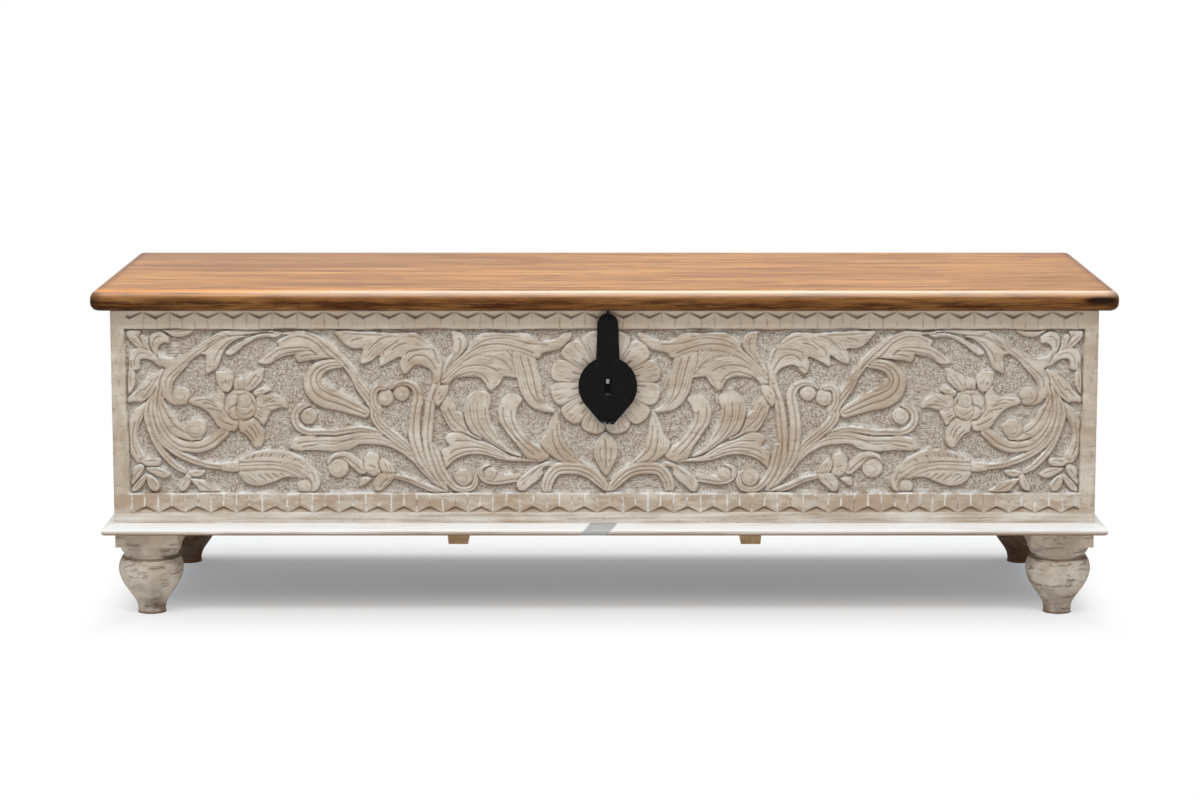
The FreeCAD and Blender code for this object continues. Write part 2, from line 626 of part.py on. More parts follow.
def lid_boards():
    tools = batten_screws() + [hasp_eye()] + stay_bracket_screws()
    for x in HINGES:
        tools += hinge_lid_screws(x)
    slab = without(lid_slab(), tools)
    width = 2 * LID_HALF_Y / LID_BOARDS
    boards = []
    for i in range(LID_BOARDS):
        y0 = -LID_HALF_Y + i * width
        boards.append(slab.common(box(-LID_HALF_X, LID_HALF_X, y0, y0 + width, RIM_Z, RIM_Z + LID_THICK)))
    return boards


def hasp_eye():
    centre = V(HASP_X, EYE_Y, EYE_Z)
    ring = Part.makeTorus(HASP_EYE_RADIUS, HASP_EYE_WIRE, centre, X)
    reach = HASP_EYE_RADIUS + HASP_EYE_WIRE
    below = box(HASP_X - reach, HASP_X + reach, EYE_Y - reach, EYE_Y + reach, EYE_Z - reach, EYE_Z)
    length = HASP_EYE_DROP + HASP_EYE_LEG
    legs = [Part.makeCylinder(HASP_EYE_WIRE, length, centre + Y * side * HASP_EYE_RADIUS)
            for side in (-1, 1)]
    return joined([ring.common(below)] + legs)


def hasp_plate():
    top = EYE_Z + HASP_TOP_MARGIN
    back = EYE_Y + HASP_THICK / 2
    half_top = HASP_TOP_WIDTH / 2
    half_neck = HASP_NECK_WIDTH / 2
    crown = top - half_top
    shoulder = BULB_Z + math.sqrt(HASP_BULB_RADIUS ** 2 - half_neck ** 2)
    tip_z = top - HASP_TIP_DROP
    half_tip = HASP_TIP_WIDTH / 2
    drop = BULB_Z - tip_z
    far = math.hypot(half_tip, drop)
    touch = math.atan2(-drop, half_tip) + math.acos(HASP_BULB_RADIUS / far)
    touch_x = HASP_BULB_RADIUS * math.cos(touch)
    touch_z = BULB_Z + HASP_BULB_RADIUS * math.sin(touch)

    def at(x, z):
        return V(HASP_X + x, back, z)

    side = at(HASP_BULB_RADIUS * math.cos(0.2), BULB_Z + HASP_BULB_RADIUS * math.sin(0.2))
    far_side = at(-HASP_BULB_RADIUS * math.cos(0.2), BULB_Z + HASP_BULB_RADIUS * math.sin(0.2))
    edges = [Part.Arc(at(-half_top, crown), at(0, top), at(half_top, crown)).toShape(),
             Part.makeLine(at(half_top, crown), at(half_neck, shoulder)),
             Part.Arc(at(half_neck, shoulder), side, at(touch_x, touch_z)).toShape(),
             Part.makeLine(at(touch_x, touch_z), at(half_tip, tip_z)),
             Part.makeLine(at(half_tip, tip_z), at(-half_tip, tip_z)),
             Part.makeLine(at(-half_tip, tip_z), at(-touch_x, touch_z)),
             Part.Arc(at(-touch_x, touch_z), far_side, at(-half_neck, shoulder)).toShape(),
             Part.makeLine(at(-half_neck, shoulder), at(-half_top, crown))]
    plate = Part.Face(Part.Wire(edges)).extrude(-Y * HASP_THICK)
    lip = box(HASP_X - half_tip, HASP_X + half_tip, back - HASP_THICK - HASP_LIP, back, tip_z,
              tip_z + HASP_THICK)
    slot = box(HASP_X - HASP_SLOT_WIDTH / 2, HASP_X + HASP_SLOT_WIDTH / 2, back - HASP_THICK, back,
               BULB_Z - HASP_SLOT_BELOW, BULB_Z + HASP_SLOT_ABOVE)
    hole = Part.makeCylinder(HASP_EYE_WIRE + HASP_EYE_PLAY, HASP_THICK,
                             V(HASP_X, back, EYE_Z - HASP_EYE_RADIUS), -Y)
    return without(joined([plate, lip]), [slot, hole])


def staple_top():
    return BULB_Z + HASP_SLOT_ABOVE - FACE_PLAY


def hasp_staple():
    tip = EYE_Y - HASP_THICK / 2 - STAPLE_PROUD
    half = STAPLE_WIDTH / 2
    root = -HALF_Y + STAPLE_SPIKE
    low = staple_top() - STAPLE_HEIGHT
    bar = box(HASP_X - half, HASP_X + half, tip, root, low, staple_top())
    nose = [e for e in bar.Edges if abs(e.CenterOfMass.y - tip) < 0.01 and abs(e.tangentAt(0).x) > 0.9]
    return bar.makeFillet(STAPLE_HEIGHT / 4, nose)


def staple_plate():
    centre = V(HASP_X, -HALF_Y, staple_top() - STAPLE_HEIGHT / 2)
    return without(Part.makeCylinder(STAPLE_PLATE_RADIUS, STAPLE_PLATE_THICK, centre, -Y), [hasp_staple()])


def stay_points():
    drop = STAY_PIVOT_DROP - (RIM_Z - HINGE_Z)
    rest = math.asin(drop / STAY_RADIUS)
    stud = rest + math.radians(STAY_APEX_ANGLE)
    pivot_at = (HINGE_Y - STAY_RADIUS * math.cos(rest), HINGE_Z - drop)
    stud_at = (HINGE_Y - STAY_RADIUS * math.cos(stud), HINGE_Z - STAY_RADIUS * math.sin(stud))
    return pivot_at, stud_at


def stay_reach(angle):
    return 2 * STAY_RADIUS * math.sin(math.radians(STAY_APEX_ANGLE + angle) / 2)


def stay_outer():
    return INNER_X - STAY_WALL_GAP


def stay_arm(sx):
    pivot, stud = stay_points()
    near = stay_reach(0)
    far = stay_reach(LID_OPEN_ANGLE)
    half = STAY_WIDTH / 2
    slot_half = STAY_STUD_RADIUS + STAY_PLAY
    end = far + half
    bar = joined([box(0, STAY_THICK, 0, end, -half, half), Part.makeCylinder(half, STAY_THICK, V(0, 0, 0), X),
                  Part.makeCylinder(half, STAY_THICK, V(0, end, 0), X)])
    slot = joined([box(0, STAY_THICK, near, far, -slot_half, slot_half),
                   Part.makeCylinder(slot_half, STAY_THICK, V(0, near, 0), X),
                   Part.makeCylinder(slot_half, STAY_THICK, V(0, far, 0), X)])
    hole = Part.makeCylinder(STAY_RIVET_RADIUS + STAY_RIVET_FIT, STAY_THICK, V(0, 0, 0), X)
    arm = without(bar, [slot, hole])
    lean = math.degrees(math.atan2(stud[1] - pivot[1], stud[0] - pivot[0]))
    arm.rotate(V(0, 0, 0), X, lean)
    x0 = stay_outer() - STAY_THICK if sx > 0 else -stay_outer()
    arm.translate(V(x0, pivot[0], pivot[1]))
    return arm


def along_wall(sx, radius, start, end, point):
    return Part.makeCylinder(radius, start - end, V(sx * start, point[0], point[1]), X * -sx)


def stay_stud(sx):
    point = stay_points()[1]
    outer = stay_outer()
    inner = outer - STAY_THICK - STAY_PLAY
    return joined([along_wall(sx, STAY_STUD_RADIUS, INNER_X + STAY_STUD_SPIKE, inner, point),
                   along_wall(sx, STAY_STUD_HEAD - 1, INNER_X, outer + STAY_PLAY, point),
                   along_wall(sx, STAY_STUD_HEAD, inner, inner - STAY_HEAD_THICK, point)])


def stay_rivet(sx):
    point = stay_points()[0]
    outer = stay_outer()
    ear = outer - STAY_THICK - STAY_PLAY
    inner = ear - STAY_THICK
    seat = outer + STAY_PLAY
    return joined([along_wall(sx, STAY_RIVET_HEAD, seat + STAY_HEAD_THICK, seat, point),
                   along_wall(sx, STAY_RIVET_RADIUS, seat, inner, point),
                   along_wall(sx, STAY_RIVET_HEAD, inner, inner - STAY_HEAD_THICK, point)])


def bracket_screws(sx):
    pivot = stay_points()[0]
    x = sx * (stay_outer() - STAY_THICK - STAY_PLAY - STAY_THICK - STAY_BRACKET_REACH / 2)
    return [small_screw(V(x, pivot[0] + dy, RIM_Z - STAY_THICK), Z)
            for dy in spread(2, STAY_BRACKET_WIDTH / 2)]


def stay_bracket_screws():
    return [s for side, sx in SIDES for s in bracket_screws(sx)]


def stay_bracket(sx):
    pivot = stay_points()[0]
    outer = stay_outer() - STAY_THICK - STAY_PLAY
    inner = outer - STAY_THICK
    half = STAY_BRACKET_WIDTH / 2
    ear = STAY_WIDTH / 2
    fx0, fx1 = sorted((sx * outer, sx * (inner - STAY_BRACKET_REACH)))
    ex0, ex1 = sorted((sx * outer, sx * inner))
    flange = box(fx0, fx1, pivot[0] - half, pivot[0] + half, RIM_Z - STAY_THICK, RIM_Z)
    tab = box(ex0, ex1, pivot[0] - ear, pivot[0] + ear, pivot[1], RIM_Z - STAY_THICK)
    end = along_wall(sx, ear, outer, inner, pivot)
    return without(joined([flange, tab, end]), [stay_rivet(sx)] + bracket_screws(sx))


keep("front_panel", front_panel())
keep("back_panel", back_panel())
keep("panel_dowels", *panel_dowels())
for i, name in enumerate(("front", "middle", "back")):
    keep("floor_board_" + name, floor_board(i))
keep("bearer_screws", *bearer_screws())
keep("foot_studs", *foot_studs())
keep("base_moulding_front", turned(moulding(CASE_LENGTH, HALF_Y), 180))
keep("base_moulding_back", moulding(CASE_LENGTH, HALF_Y))
keep("base_moulding_left", turned(moulding(CASE_DEPTH, HALF_X), 90))
keep("base_moulding_right", turned(moulding(CASE_DEPTH, HALF_X), -90))
for name, sx in SIDES:
    keep("side_panel_" + name, side_panel(sx))
    keep("floor_bearer_" + name, floor_bearer(BEARERS[(sx + 1) // 2]))
    keep("stay_stud_" + name, stay_stud(sx))
    keep("stay_bracket_" + name, stay_bracket(sx))
    keep("stay_rivet_" + name, stay_rivet(sx))
    keep("stay_arm_" + name, stay_arm(sx))
    for end, sy in ENDS:
        keep("foot_" + end + "_" + name, turned_foot(sx, sy))
        keep("corner_block_" + end + "_" + name, corner_block(sx, sy))
for name, x in zip(("left", "centre", "right"), HINGES):
    keep("hinge_case_leaf_" + name, hinge_case_leaf(x))
    keep("hinge_lid_leaf_" + name, hinge_lid_leaf(x))
    keep("hinge_pin_" + name, hinge_pin(x))
keep("hinge_case_screws", *[s for x in HINGES for s in hinge_case_screws(x)])
keep("hinge_lid_screws", *[s for x in HINGES for s in hinge_lid_screws(x)])
for name, board in zip(("front", "middle", "back"), lid_boards()):
    keep("lid_board_" + name, board)
for name, x in zip(("left", "centre", "right"), BATTENS):
    keep("lid_batten_" + name, lid_batten(x))
keep("lid_batten_screws", *batten_screws())
keep("stay_bracket_screws", *stay_bracket_screws())
keep("hasp_eye", hasp_eye())
keep("hasp_plate", hasp_plate())
keep("hasp_staple", hasp_staple())
keep("staple_plate", staple_plate())
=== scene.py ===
import math

import bpy
import numpy as np
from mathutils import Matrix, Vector


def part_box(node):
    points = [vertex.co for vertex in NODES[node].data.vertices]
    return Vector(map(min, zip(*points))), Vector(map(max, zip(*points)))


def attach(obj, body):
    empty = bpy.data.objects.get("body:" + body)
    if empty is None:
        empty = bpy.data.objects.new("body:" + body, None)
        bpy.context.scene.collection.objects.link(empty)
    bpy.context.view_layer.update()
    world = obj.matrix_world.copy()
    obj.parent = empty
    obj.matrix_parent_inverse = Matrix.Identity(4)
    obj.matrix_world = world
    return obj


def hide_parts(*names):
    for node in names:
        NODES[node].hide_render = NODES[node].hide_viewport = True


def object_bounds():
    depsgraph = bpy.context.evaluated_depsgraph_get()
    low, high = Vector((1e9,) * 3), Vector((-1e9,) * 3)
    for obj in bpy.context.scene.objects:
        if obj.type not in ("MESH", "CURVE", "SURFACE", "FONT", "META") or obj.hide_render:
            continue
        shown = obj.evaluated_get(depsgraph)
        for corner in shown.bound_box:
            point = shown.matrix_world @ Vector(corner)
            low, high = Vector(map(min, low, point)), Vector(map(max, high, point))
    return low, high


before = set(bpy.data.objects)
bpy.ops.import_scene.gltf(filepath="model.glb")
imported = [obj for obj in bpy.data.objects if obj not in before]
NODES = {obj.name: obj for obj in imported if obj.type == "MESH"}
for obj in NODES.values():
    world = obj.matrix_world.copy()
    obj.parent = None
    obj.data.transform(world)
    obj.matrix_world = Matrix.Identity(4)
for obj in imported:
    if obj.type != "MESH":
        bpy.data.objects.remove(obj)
CAD_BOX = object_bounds()
MM = 0.001

# Camera, fitted to the lid, carcass and feet in the 1200 x 800 photograph
CAMERA_DISTANCE = 4.716
CAMERA_HEIGHT = 0.991
CAMERA_PITCH = 8.74
CAMERA_LENS = 101.5
CAMERA_SENSOR = 36
CAMERA_FAR = 100
PHOTO_WIDTH = 1200
PHOTO_CENTRE_SHIFT = 4.5

# Carved front panel, millimetres; heights stand above the sunk ground of the carving
PANEL_LOW, PANEL_HIGH = (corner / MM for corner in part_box("front_panel"))
HALF_LENGTH = PANEL_HIGH.x
BASE, RIM = PANEL_LOW.z, PANEL_HIGH.z
CELL = 1.1
PANEL_STRIPS = 4
FACE = 8.0
FIELD_LOW = BASE + 56.0
FIELD_TOP = RIM - 27.0
STILE_LOW, STILE_TOP = 22.0, 18.5
WALL = 1.0

# Leaves, stems and balls: their height, the moat cut round each, and the cuts into their tops
LEAF_TOP = 7.6
LEAF_EDGE, LEAF_SHOULDER, BALL_SHOULDER = 8.5, 0.55, 0.4
MOAT_WIDTH, MOAT_DEPTH = 1.6, 2.3
OVERLAP_EASE, OVERLAP_FROM, OVERLAP_RUN = 0.45, 2.0, 2.0
VEIN_WIDTH, VEIN_DEPTH, VEIN_TAPER = 2.0, 2.1, 6
STROKE_STEP, STROKE_DEPTH, STROKE_REACH = 4.2, 0.9, 8
STROKE_MARGIN, STROKE_FADE = 1.0, 2.0
PRESS_MEAN, PRESS_SPREAD, PRESS_REACH, PRESS_ENDS = 0.6, 9, 7, (0.1, 1.2)
DISH_RIM, DISH_RUN = 1.0, 8.0
SPIRAL_TURNS, SPIRAL_DEPTH = 1.3, 0.9
UPPER_DRIFT, LOWER_DRIFT = 1.0, 10.0
DRIFT_FOOT, DRIFT_TOP, DRIFT_REACH = 205.0, 255.0, 450.0

# Rosette behind the hasp and the roses of the side blossoms
ROSETTE_X, ROSETTE_Z = 1.7, RIM - 99.4
ROSETTE_PETALS = 12
ROSETTE_RADIUS = 73.5
ROSETTE_STRETCH = (1.03, 0.98)
PETAL_SIDE = ((16, 5), (34, 9.5), (52, 14.5), (63, 16), (70.5, 11.5))
PETAL_VEINS = ((0.16, (22, 38, 56)), (-0.05, (24, 36, 48)))
PETAL_DISH = 1.9
VEINED_LEAF_DISH = 2.4
ROSE_PLACE = (-490.5, 291.5)
ROSE_RADIUS = 22.0
ROSE_FOLDS = ((-8.0, 4.0, 12.0), (-6.0, -9.5, 10.0), (6.5, -6.0, 13.5), (6.5, -1.5, 11.0),
              (5.5, 6.5, 10.0))

# Zigzag bands above and below the field: chips, upright scores and the dark lines along their edges
ZIGZAG_PITCH = 34.85
TOP_VALLEY_X, TOP_VALLEY_Z, TOP_PEAK_Z = -9.5, RIM - 13.0, RIM - 4.0
LOW_PEAK_X, LOW_PEAK_Z, LOW_BASE_Z = 7.4, BASE + 38.0, BASE + 29.5
CHIP_DEPTH, CHIP_RUNOUT, CHIP_SLOPE = 2.8, 1.5, 7.0
SCORE_WIDTH, SCORE_DEPTH = 1.5, 1.3
TOP_SWAY, TOP_LEAN = (1.3, 41.0), (0.07, 23.0)
LOW_SWAY, LOW_LEAN = (1.1, 37.0), (0.06, 19.0)
LINE_OFFSET = 0.6
TOP_LINE_WIDTH, TOP_LINE_SWELL, TOP_LINE_DARK, TOP_SCORE_WHITE = 1.2, 1.3, 0.8, 0.45
LOW_LINE_WIDTH, LOW_LINE_SWELL, LOW_CHIP_DARK = 0.9, 1.2, 0.4

# Hand finish of the panel: uneven frame edges, punched ground, waves on the leaves, worn arris
STILE_WAVE, RAIL_WAVES = (0.5, 17.0), ((0.5, 29.0), (0.3, 11.0))
BAND_END, BAND_FADE = 2.0, 3.0
SILL_OUT, SILL_WIDTH, SILL_REACH, SILL_WHITE = 0.8, 1.3, 2.0, 0.8
GROUND_HEIGHT = 1.5
PUNCH_DEPTH, PUNCH_LIFT = 1.2, 0.25
WAVE_REACH, WAVE_GAIN, WAVE_HEIGHT = 5, 12, 0.3
ARRIS_WIDTH, ARRIS_DROP, FACE_WEAR = 2.5, 1.2, 0.15

# Dirt and painted shade in the carving's hollows and under its forms, worn white and a painted highlight on
# its edges that face up: depths and slopes that count in full, and their shares
DEEP_HOLLOW, FINE_HOLLOW, FINE_LIMIT, CREST_RISE, CREST_FROM = 4.5, 1.1, 0.5, 1.3, 3.0
STEEP, FACING_UP_SLOPE, UPLIT_SHARE, GROUND_SHELTER, EDGE_GAIN = 2.5, 1.2, 0.55, 0.7, 2.5
DEEP_DIRT_AND_SHADE, FINE_DIRT_AND_SHADE, OVERHANG_DIRT_AND_SHADE, SILT_AND_CAST_SHADE, LINE_DARKENING = 0.4, 0.95, 0.8, 0.4, 0.7
CREST_WHITE_AND_HIGHLIGHT, CHALK_WHITE_AND_HIGHLIGHT = 1.1, 0.65

rng = np.random.default_rng(11)


def ease(share):
    """A share from 0 to 1 that starts and ends softly."""
    share = np.clip(share, 0, 1)
    return share * share * (3 - 2 * share)


def points(text):
    """Places in mm from words such as -613,301; a stem's words also give its half width."""
    return np.array([[float(part) for part in word.split(",")] for word in text.split()])


def flowing(hand_set, closed):
    """A smooth line through given points, as short straight steps."""
    if closed:
        p = np.vstack([hand_set[-1:], hand_set, hand_set[:2]])
    else:
        p = np.vstack([2 * hand_set[:1] - hand_set[1:2], hand_set, 2 * hand_set[-1:] - hand_set[-2:-1]])
    line = []
    for a, b, c, d in zip(p[:-3], p[1:-2], p[2:-1], p[3:]):
        steps = max(2, int(np.hypot(*(c - b)[:2])))
        t = np.linspace(0, 1, steps, endpoint=False)[:, None]
        bend = (c - a) * t + (2 * a - 5 * b + 4 * c - d) * t ** 2 + (3 * b - a - 3 * c + d) * t ** 3
        line.append(b + bend / 2)
    line.append(hand_set[:1] if closed else hand_set[-1:])
    return np.vstack(line)


def right_hand(path):
    """The carver's right half: the left one turned over, with a drift that grows low down by the middle."""
    turned = path.copy()
    low_down = ease((DRIFT_TOP - path[:, 1]) / (DRIFT_TOP - DRIFT_FOOT))
    by_middle = np.clip(1 - np.abs(path[:, 0]) / DRIFT_REACH, 0, 1)
    turned[:, 0] = UPPER_DRIFT + LOWER_DRIFT * low_down * by_middle - path[:, 0]
    return turned


def nearest(line, x, z):
    """Distance to a line, place along it and side of it, for each grid point."""
    start, step = line[:-1, :2], np.diff(line[:, :2], axis=0)
    square = (step ** 2).sum(1) + 1e-9
    best = np.full(x.shape, 1e9)
    along, side = np.zeros(x.shape), np.zeros(x.shape)
    for k, ((ax, az), (dx, dz)) in enumerate(zip(start, step)):
        t = np.clip(((x - ax) * dx + (z - az) * dz) / square[k], 0, 1)
        ex, ez = x - ax - t * dx, z - az - t * dz
        gap = ex ** 2 + ez ** 2
        closer = gap < best
        best[closer] = gap[closer]
        along[closer] = (k + t)[closer]
        side[closer] = np.sign(dx * ez - dz * ex)[closer]
    return np.sqrt(best), along, side


def within(outline, x, z):
    """Which grid points lie inside a closed outline."""
    odd = np.zeros(x.shape, bool)
    for (ax, az), (bx, bz) in zip(outline[:-1, :2], outline[1:, :2]):
        if az != bz:
            odd ^= ((az > z) != (bz > z)) & (x < (bx - ax) * (z - az) / (bz - az) + ax)
    return odd


def blurred(values, reach):
    """Box average over reach cells each way."""
    for axis in (0, 1):
        pad = [(reach + 1, reach) if a == axis else (0, 0) for a in (0, 1)]
        total = np.cumsum(np.pad(values, pad, mode="edge"), axis=axis)
        count = values.shape[axis]
        high = np.take(total, range(2 * reach + 1, 2 * reach + 1 + count), axis=axis)
        low = np.take(total, range(count), axis=axis)
        values = (high - low) / (2 * reach + 1)
    return values


def crowned(dome, shoulder):
    """Height of a form whose edge stands at a share of the leaf height and whose dome rises to all of it."""
    return LEAF_TOP * (shoulder + (1 - shoulder) * dome)


class Relief:
    """The carved face as heights above its sunk ground, on a grid of x along and z up, all in mm."""

    def __init__(self):
        self.x = np.linspace(-HALF_LENGTH, HALF_LENGTH, round(2 * HALF_LENGTH / CELL) + 1)
        self.z = np.linspace(BASE, RIM, round((RIM - BASE) / CELL) + 1)
        self.height = np.zeros((len(self.z), len(self.x)))
        uneven = blurred(blurred(rng.normal(size=self.height.shape), PRESS_REACH), PRESS_REACH)
        self.pressed = np.clip(PRESS_MEAN + PRESS_SPREAD * uneven, *PRESS_ENDS)

    def window(self, line, margin):
        """The part of the grid that a line and its margin cover, and its places."""
        low, high = line[:, :2].min(0) - margin, line[:, :2].max(0) + margin
        rows = slice(*np.searchsorted(self.z, [low[1], high[1]]))
        columns = slice(*np.searchsorted(self.x, [low[0], high[0]]))
        x, z = np.meshgrid(self.x[columns], self.z[rows])
        return (rows, columns), x, z

    def lay(self, window, depth, body):
        """Lays a form on what is carved so far; depth is the distance inside its edge."""
        below = self.height[window]
        moat = np.clip(1 - np.abs(depth + WALL) / MOAT_WIDTH, 0, 1) * (depth < 0)
        on_leaf = ease((below - OVERLAP_FROM) / OVERLAP_RUN)
        below = np.maximum(below - MOAT_DEPTH * moat * (1 - OVERLAP_EASE * on_leaf), 0)
        share = ease((depth + WALL / 2) / WALL)
        self.height[window] = below * (1 - share) + body * share

    def cut_leaf(self, outline, veins, dish=0.0):
        """A crowned or dished leaf with veins, and gouge strokes that follow them."""
        edge = flowing(outline, True)
        window, x, z = self.window(edge, 2 * MOAT_WIDTH)
        depth = nearest(edge, x, z)[0]
        depth = np.where(within(edge, x, z), depth, -depth)
        dome = np.sqrt(1 - (1 - np.clip(depth / LEAF_EDGE, 0, 1)) ** 2)
        body = crowned(dome, LEAF_SHOULDER) - dish * ease((depth - DISH_RIM) / DISH_RUN)
        beside = np.full(x.shape, 1e9)
        for vein in veins:
            line = flowing(vein, False)
            before = line[:1] + STROKE_REACH * (line[:1] - line[3:4])
            after = line[-1:] + STROKE_REACH * (line[-1:] - line[-4:-3])
            gap, along, _ = nearest(np.vstack([before, line, after]), x, z)
            beside = np.minimum(beside, gap)
            taper = ease(np.minimum(along - 1, len(line) - along) / VEIN_TAPER)
            body -= VEIN_DEPTH * taper * np.clip(1 - gap / VEIN_WIDTH, 0, 1)
        stroke = 0.5 - 0.5 * np.cos(2 * math.pi * (beside - VEIN_WIDTH) / STROKE_STEP)
        on_top = ease((depth - STROKE_MARGIN) / STROKE_FADE)
        off_vein = ease((beside - STROKE_MARGIN) / STROKE_FADE)
        body -= STROKE_DEPTH * self.pressed[window] * stroke * on_top * off_vein
        self.lay(window, depth, body)

    def single_leaf(self, outline, *veins):
        """A leaf on the middle line, cut once."""
        self.cut_leaf(points(outline), [points(v) for v in veins])

    def leaf(self, outline, *veins, dish=0.0):
        """A leaf in both halves."""
        for hand in (np.copy, right_hand):
            self.cut_leaf(hand(points(outline)), [hand(points(v)) for v in veins], dish)

    def stem(self, spine, grooves):
        """A rounded stem in both halves, with grooves at shares of its half width."""
        for hand, turn in ((np.copy, 1), (right_hand, -1)):
            line = flowing(hand(points(spine)), False)
            window, x, z = self.window(line, line[:, 2].max() + 2 * MOAT_WIDTH)
            gap, along, side = nearest(line, x, z)
            half = np.interp(along, np.arange(len(line)), line[:, 2])
            across = np.clip(gap / half, 0, 1.2) * side * turn
            body = crowned(np.sqrt(np.clip(1 - across ** 2, 0, 1)), LEAF_SHOULDER)
            for groove in grooves:
                body -= VEIN_DEPTH * np.clip(1 - np.abs(across - groove) * half / VEIN_WIDTH, 0, 1)
            self.lay(window, half - gap, body)

    def ball(self, x, z, radius):
        """A round boss in both halves, with a spiral cut into its top."""
        place = np.array([[x, z]], float)
        for centre in (place, right_hand(place)):
            window, grid_x, grid_z = self.window(centre, radius + 2 * MOAT_WIDTH)
            off_x, off_z = grid_x - centre[0, 0], grid_z - centre[0, 1]
            gap = np.hypot(off_x, off_z)
            dome = np.sqrt(np.clip(1 - (gap / radius) ** 2, 0, 1))
            turn = np.arctan2(off_z, off_x) / (2 * math.pi)
            spiral = np.abs((gap / radius * SPIRAL_TURNS + turn) % 1 - 0.5) * radius / SPIRAL_TURNS
            cut = np.clip(1 - spiral / VEIN_WIDTH, 0, 1) * (gap > radius / 4)
            self.lay(window, radius - gap, crowned(dome, BALL_SHOULDER) - SPIRAL_DEPTH * cut)


def stile_frond_and_stems(relief):
    relief.leaf("-613,301 -621,295 -631,286 -638,277 -642,266 -642,248 -642,232 -637,221 -631,213 -625,212 "
                "-618,217 -619,223 -625,233 -629,246 -629,257 -626,266 -622,274 -616,285 -610,296 -598,327 "
                "-606,315", "-631,273 -636,254 -635,236 -629,221", "-623,280 -629,265 -629,246 -624,231")
    relief.stem("-596,336,4.5 -601,316,5 -613,293,4.7 -616,276,4.9 -610,254,5.1 -602,236,5.1 -591,221,4.9 "
                "-578,208,4.7 -566,201,3.3", grooves=(0.1,))
    relief.stem("-595,336,4.5 -600,315,5.6 -607,294,5.4 -607,276,5.6 -602,256,5.6 -594,241,5.4 "
                "-581,230,5.4 -566,221,5.4 -551,215,5.1 -534,210,4.9 -517,208,4.9 -513,208,6.1",
                grooves=(0,))
    relief.stem("-594,336,5 -598,315,6.7 -602,292,6.7 -600,277,7.4 -595,262,7.4 -585,247,7.4 -573,238,7.6 "
                "-559,235,8 -546,235,8.5 -531,241,8.9 -521,249,8.5 -513,255,7.4", grooves=(-0.15,))
    relief.stem("-592,333,3.3 -597,299,4.5 -593,286,6.7 -587,273,8.7 -579,262,9.4 -569,255,8.9 "
                "-558,251,7.8 -547,249,5", grooves=(0.15,))
    relief.ball(-550, 260, 13.6)


def bottom_sprays(relief):
    relief.leaf("-628,217 -618,220 -602,220 -598,216 -600,210 -606,208 -618,208 -625,212",
                "-622,215 -611,216 -601,216")
    relief.leaf("-627,212 -635,206 -638,199 -637,193 -640,186 -638,182 -632,188 -625,197 -621,207",
                "-625,208 -633,197 -638,186")
    relief.leaf("-620,206 -607,207 -595,205 -586,197 -592,192 -600,192 -610,197 -617,202",
                "-615,204 -602,202 -590,197")
    relief.leaf("-618,199 -625,194 -634,185 -638,179 -639,173 -636,172 -629,176 -622,184 -618,192",
                "-620,195 -629,185 -637,175")
    relief.leaf("-617,197 -609,194 -602,186 -601,179 -605,173 -611,174 -617,181 -619,190",
                "-615,194 -608,186 -604,177")
    relief.leaf("-564,200 -556,203 -544,204 -539,202 -542,196 -550,193 -558,194",
                "-559,199 -551,199 -542,201")
    relief.leaf("-564,199 -569,190 -574,181 -575,176 -571,173 -564,177 -559,186 -558,194",
                "-564,194 -568,185 -571,177")
    relief.leaf("-558,192 -540,189 -532,184 -520,176 -522,172 -533,171 -545,173 -551,179 -557,186",
                "-552,188 -540,180 -525,174", "-539,188 -532,181 -524,176")


def corner_leaves(relief):
    relief.leaf("-642,386 -641,392 -632,395 -625,394 -622,390 -624,385 -620,377 -615,370 -606,361 -615,363 "
                "-624,367 -631,372 -638,380", "-638,385 -628,377 -615,365", "-632,390 -626,384 -619,374")
    relief.leaf("-624,385 -620,389 -615,385 -613,378 -611,370 -605,360 -610,363 -616,370 -621,377",
                "-620,385 -616,376 -609,364")
    relief.leaf("-605,360 -610,372 -611,381 -608,388 -600,392 -592,390 -585,385 -584,380 -586,375 -592,376 "
                "-598,372 -600,366 -599,359", "-606,367 -606,378 -600,385 -592,385", "-601,380 -594,381")
    relief.leaf("-594,394 -581,395 -565,396 -550,396 -556,388 -568,384 -580,385 -588,390",
                "-589,393 -574,392 -559,393")
    relief.leaf("-633,339 -630,339 -625,341 -625,348 -622,354 -614,354 -606,350 -599,345 -592,345 -593,351 "
                "-606,362 -615,367 -625,370 -632,368 -638,363 -640,354 -639,345 -641,331 -642,316 -640,306 "
                "-634,314 -631,324 -632,336", "-631,342 -631,354 -625,362 -615,362 -605,356",
                "-636,354 -637,333 -638,313")
    relief.leaf("-595,339 -606,336 -616,330 -626,319 -630,313 -641,303 -644,298 -641,295 -631,296 -623,295 "
                "-615,301 -609,307 -604,315 -598,322 -592,336",
                "-606,330 -613,319 -618,314 -624,312 -634,301", "-599,334 -607,321 -616,307 -625,300")


def arch_stem(relief):
    relief.leaf("-600,366 -595,360 -585,357 -575,357 -565,362 -548,372 -529,384 -516,392 -503,394 -492,387 "
                "-521,378 -538,362 -542,361 -553,354 -565,341 -575,330 -581,321 -582,311 -578,300 -567,294 "
                "-560,300 -562,293 -575,291 -586,295 -594,303 -597,313 -597,327 -591,340 -596,346 -600,356",
                "-516,389 -542,373 -560,363 -574,355 -585,356",
                "-521,382 -544,367 -560,354 -578,339 -589,327 -590,313",
                "-546,360 -565,346 -579,331 -584,320 -584,310")
    relief.ball(-570, 305, 12.5)


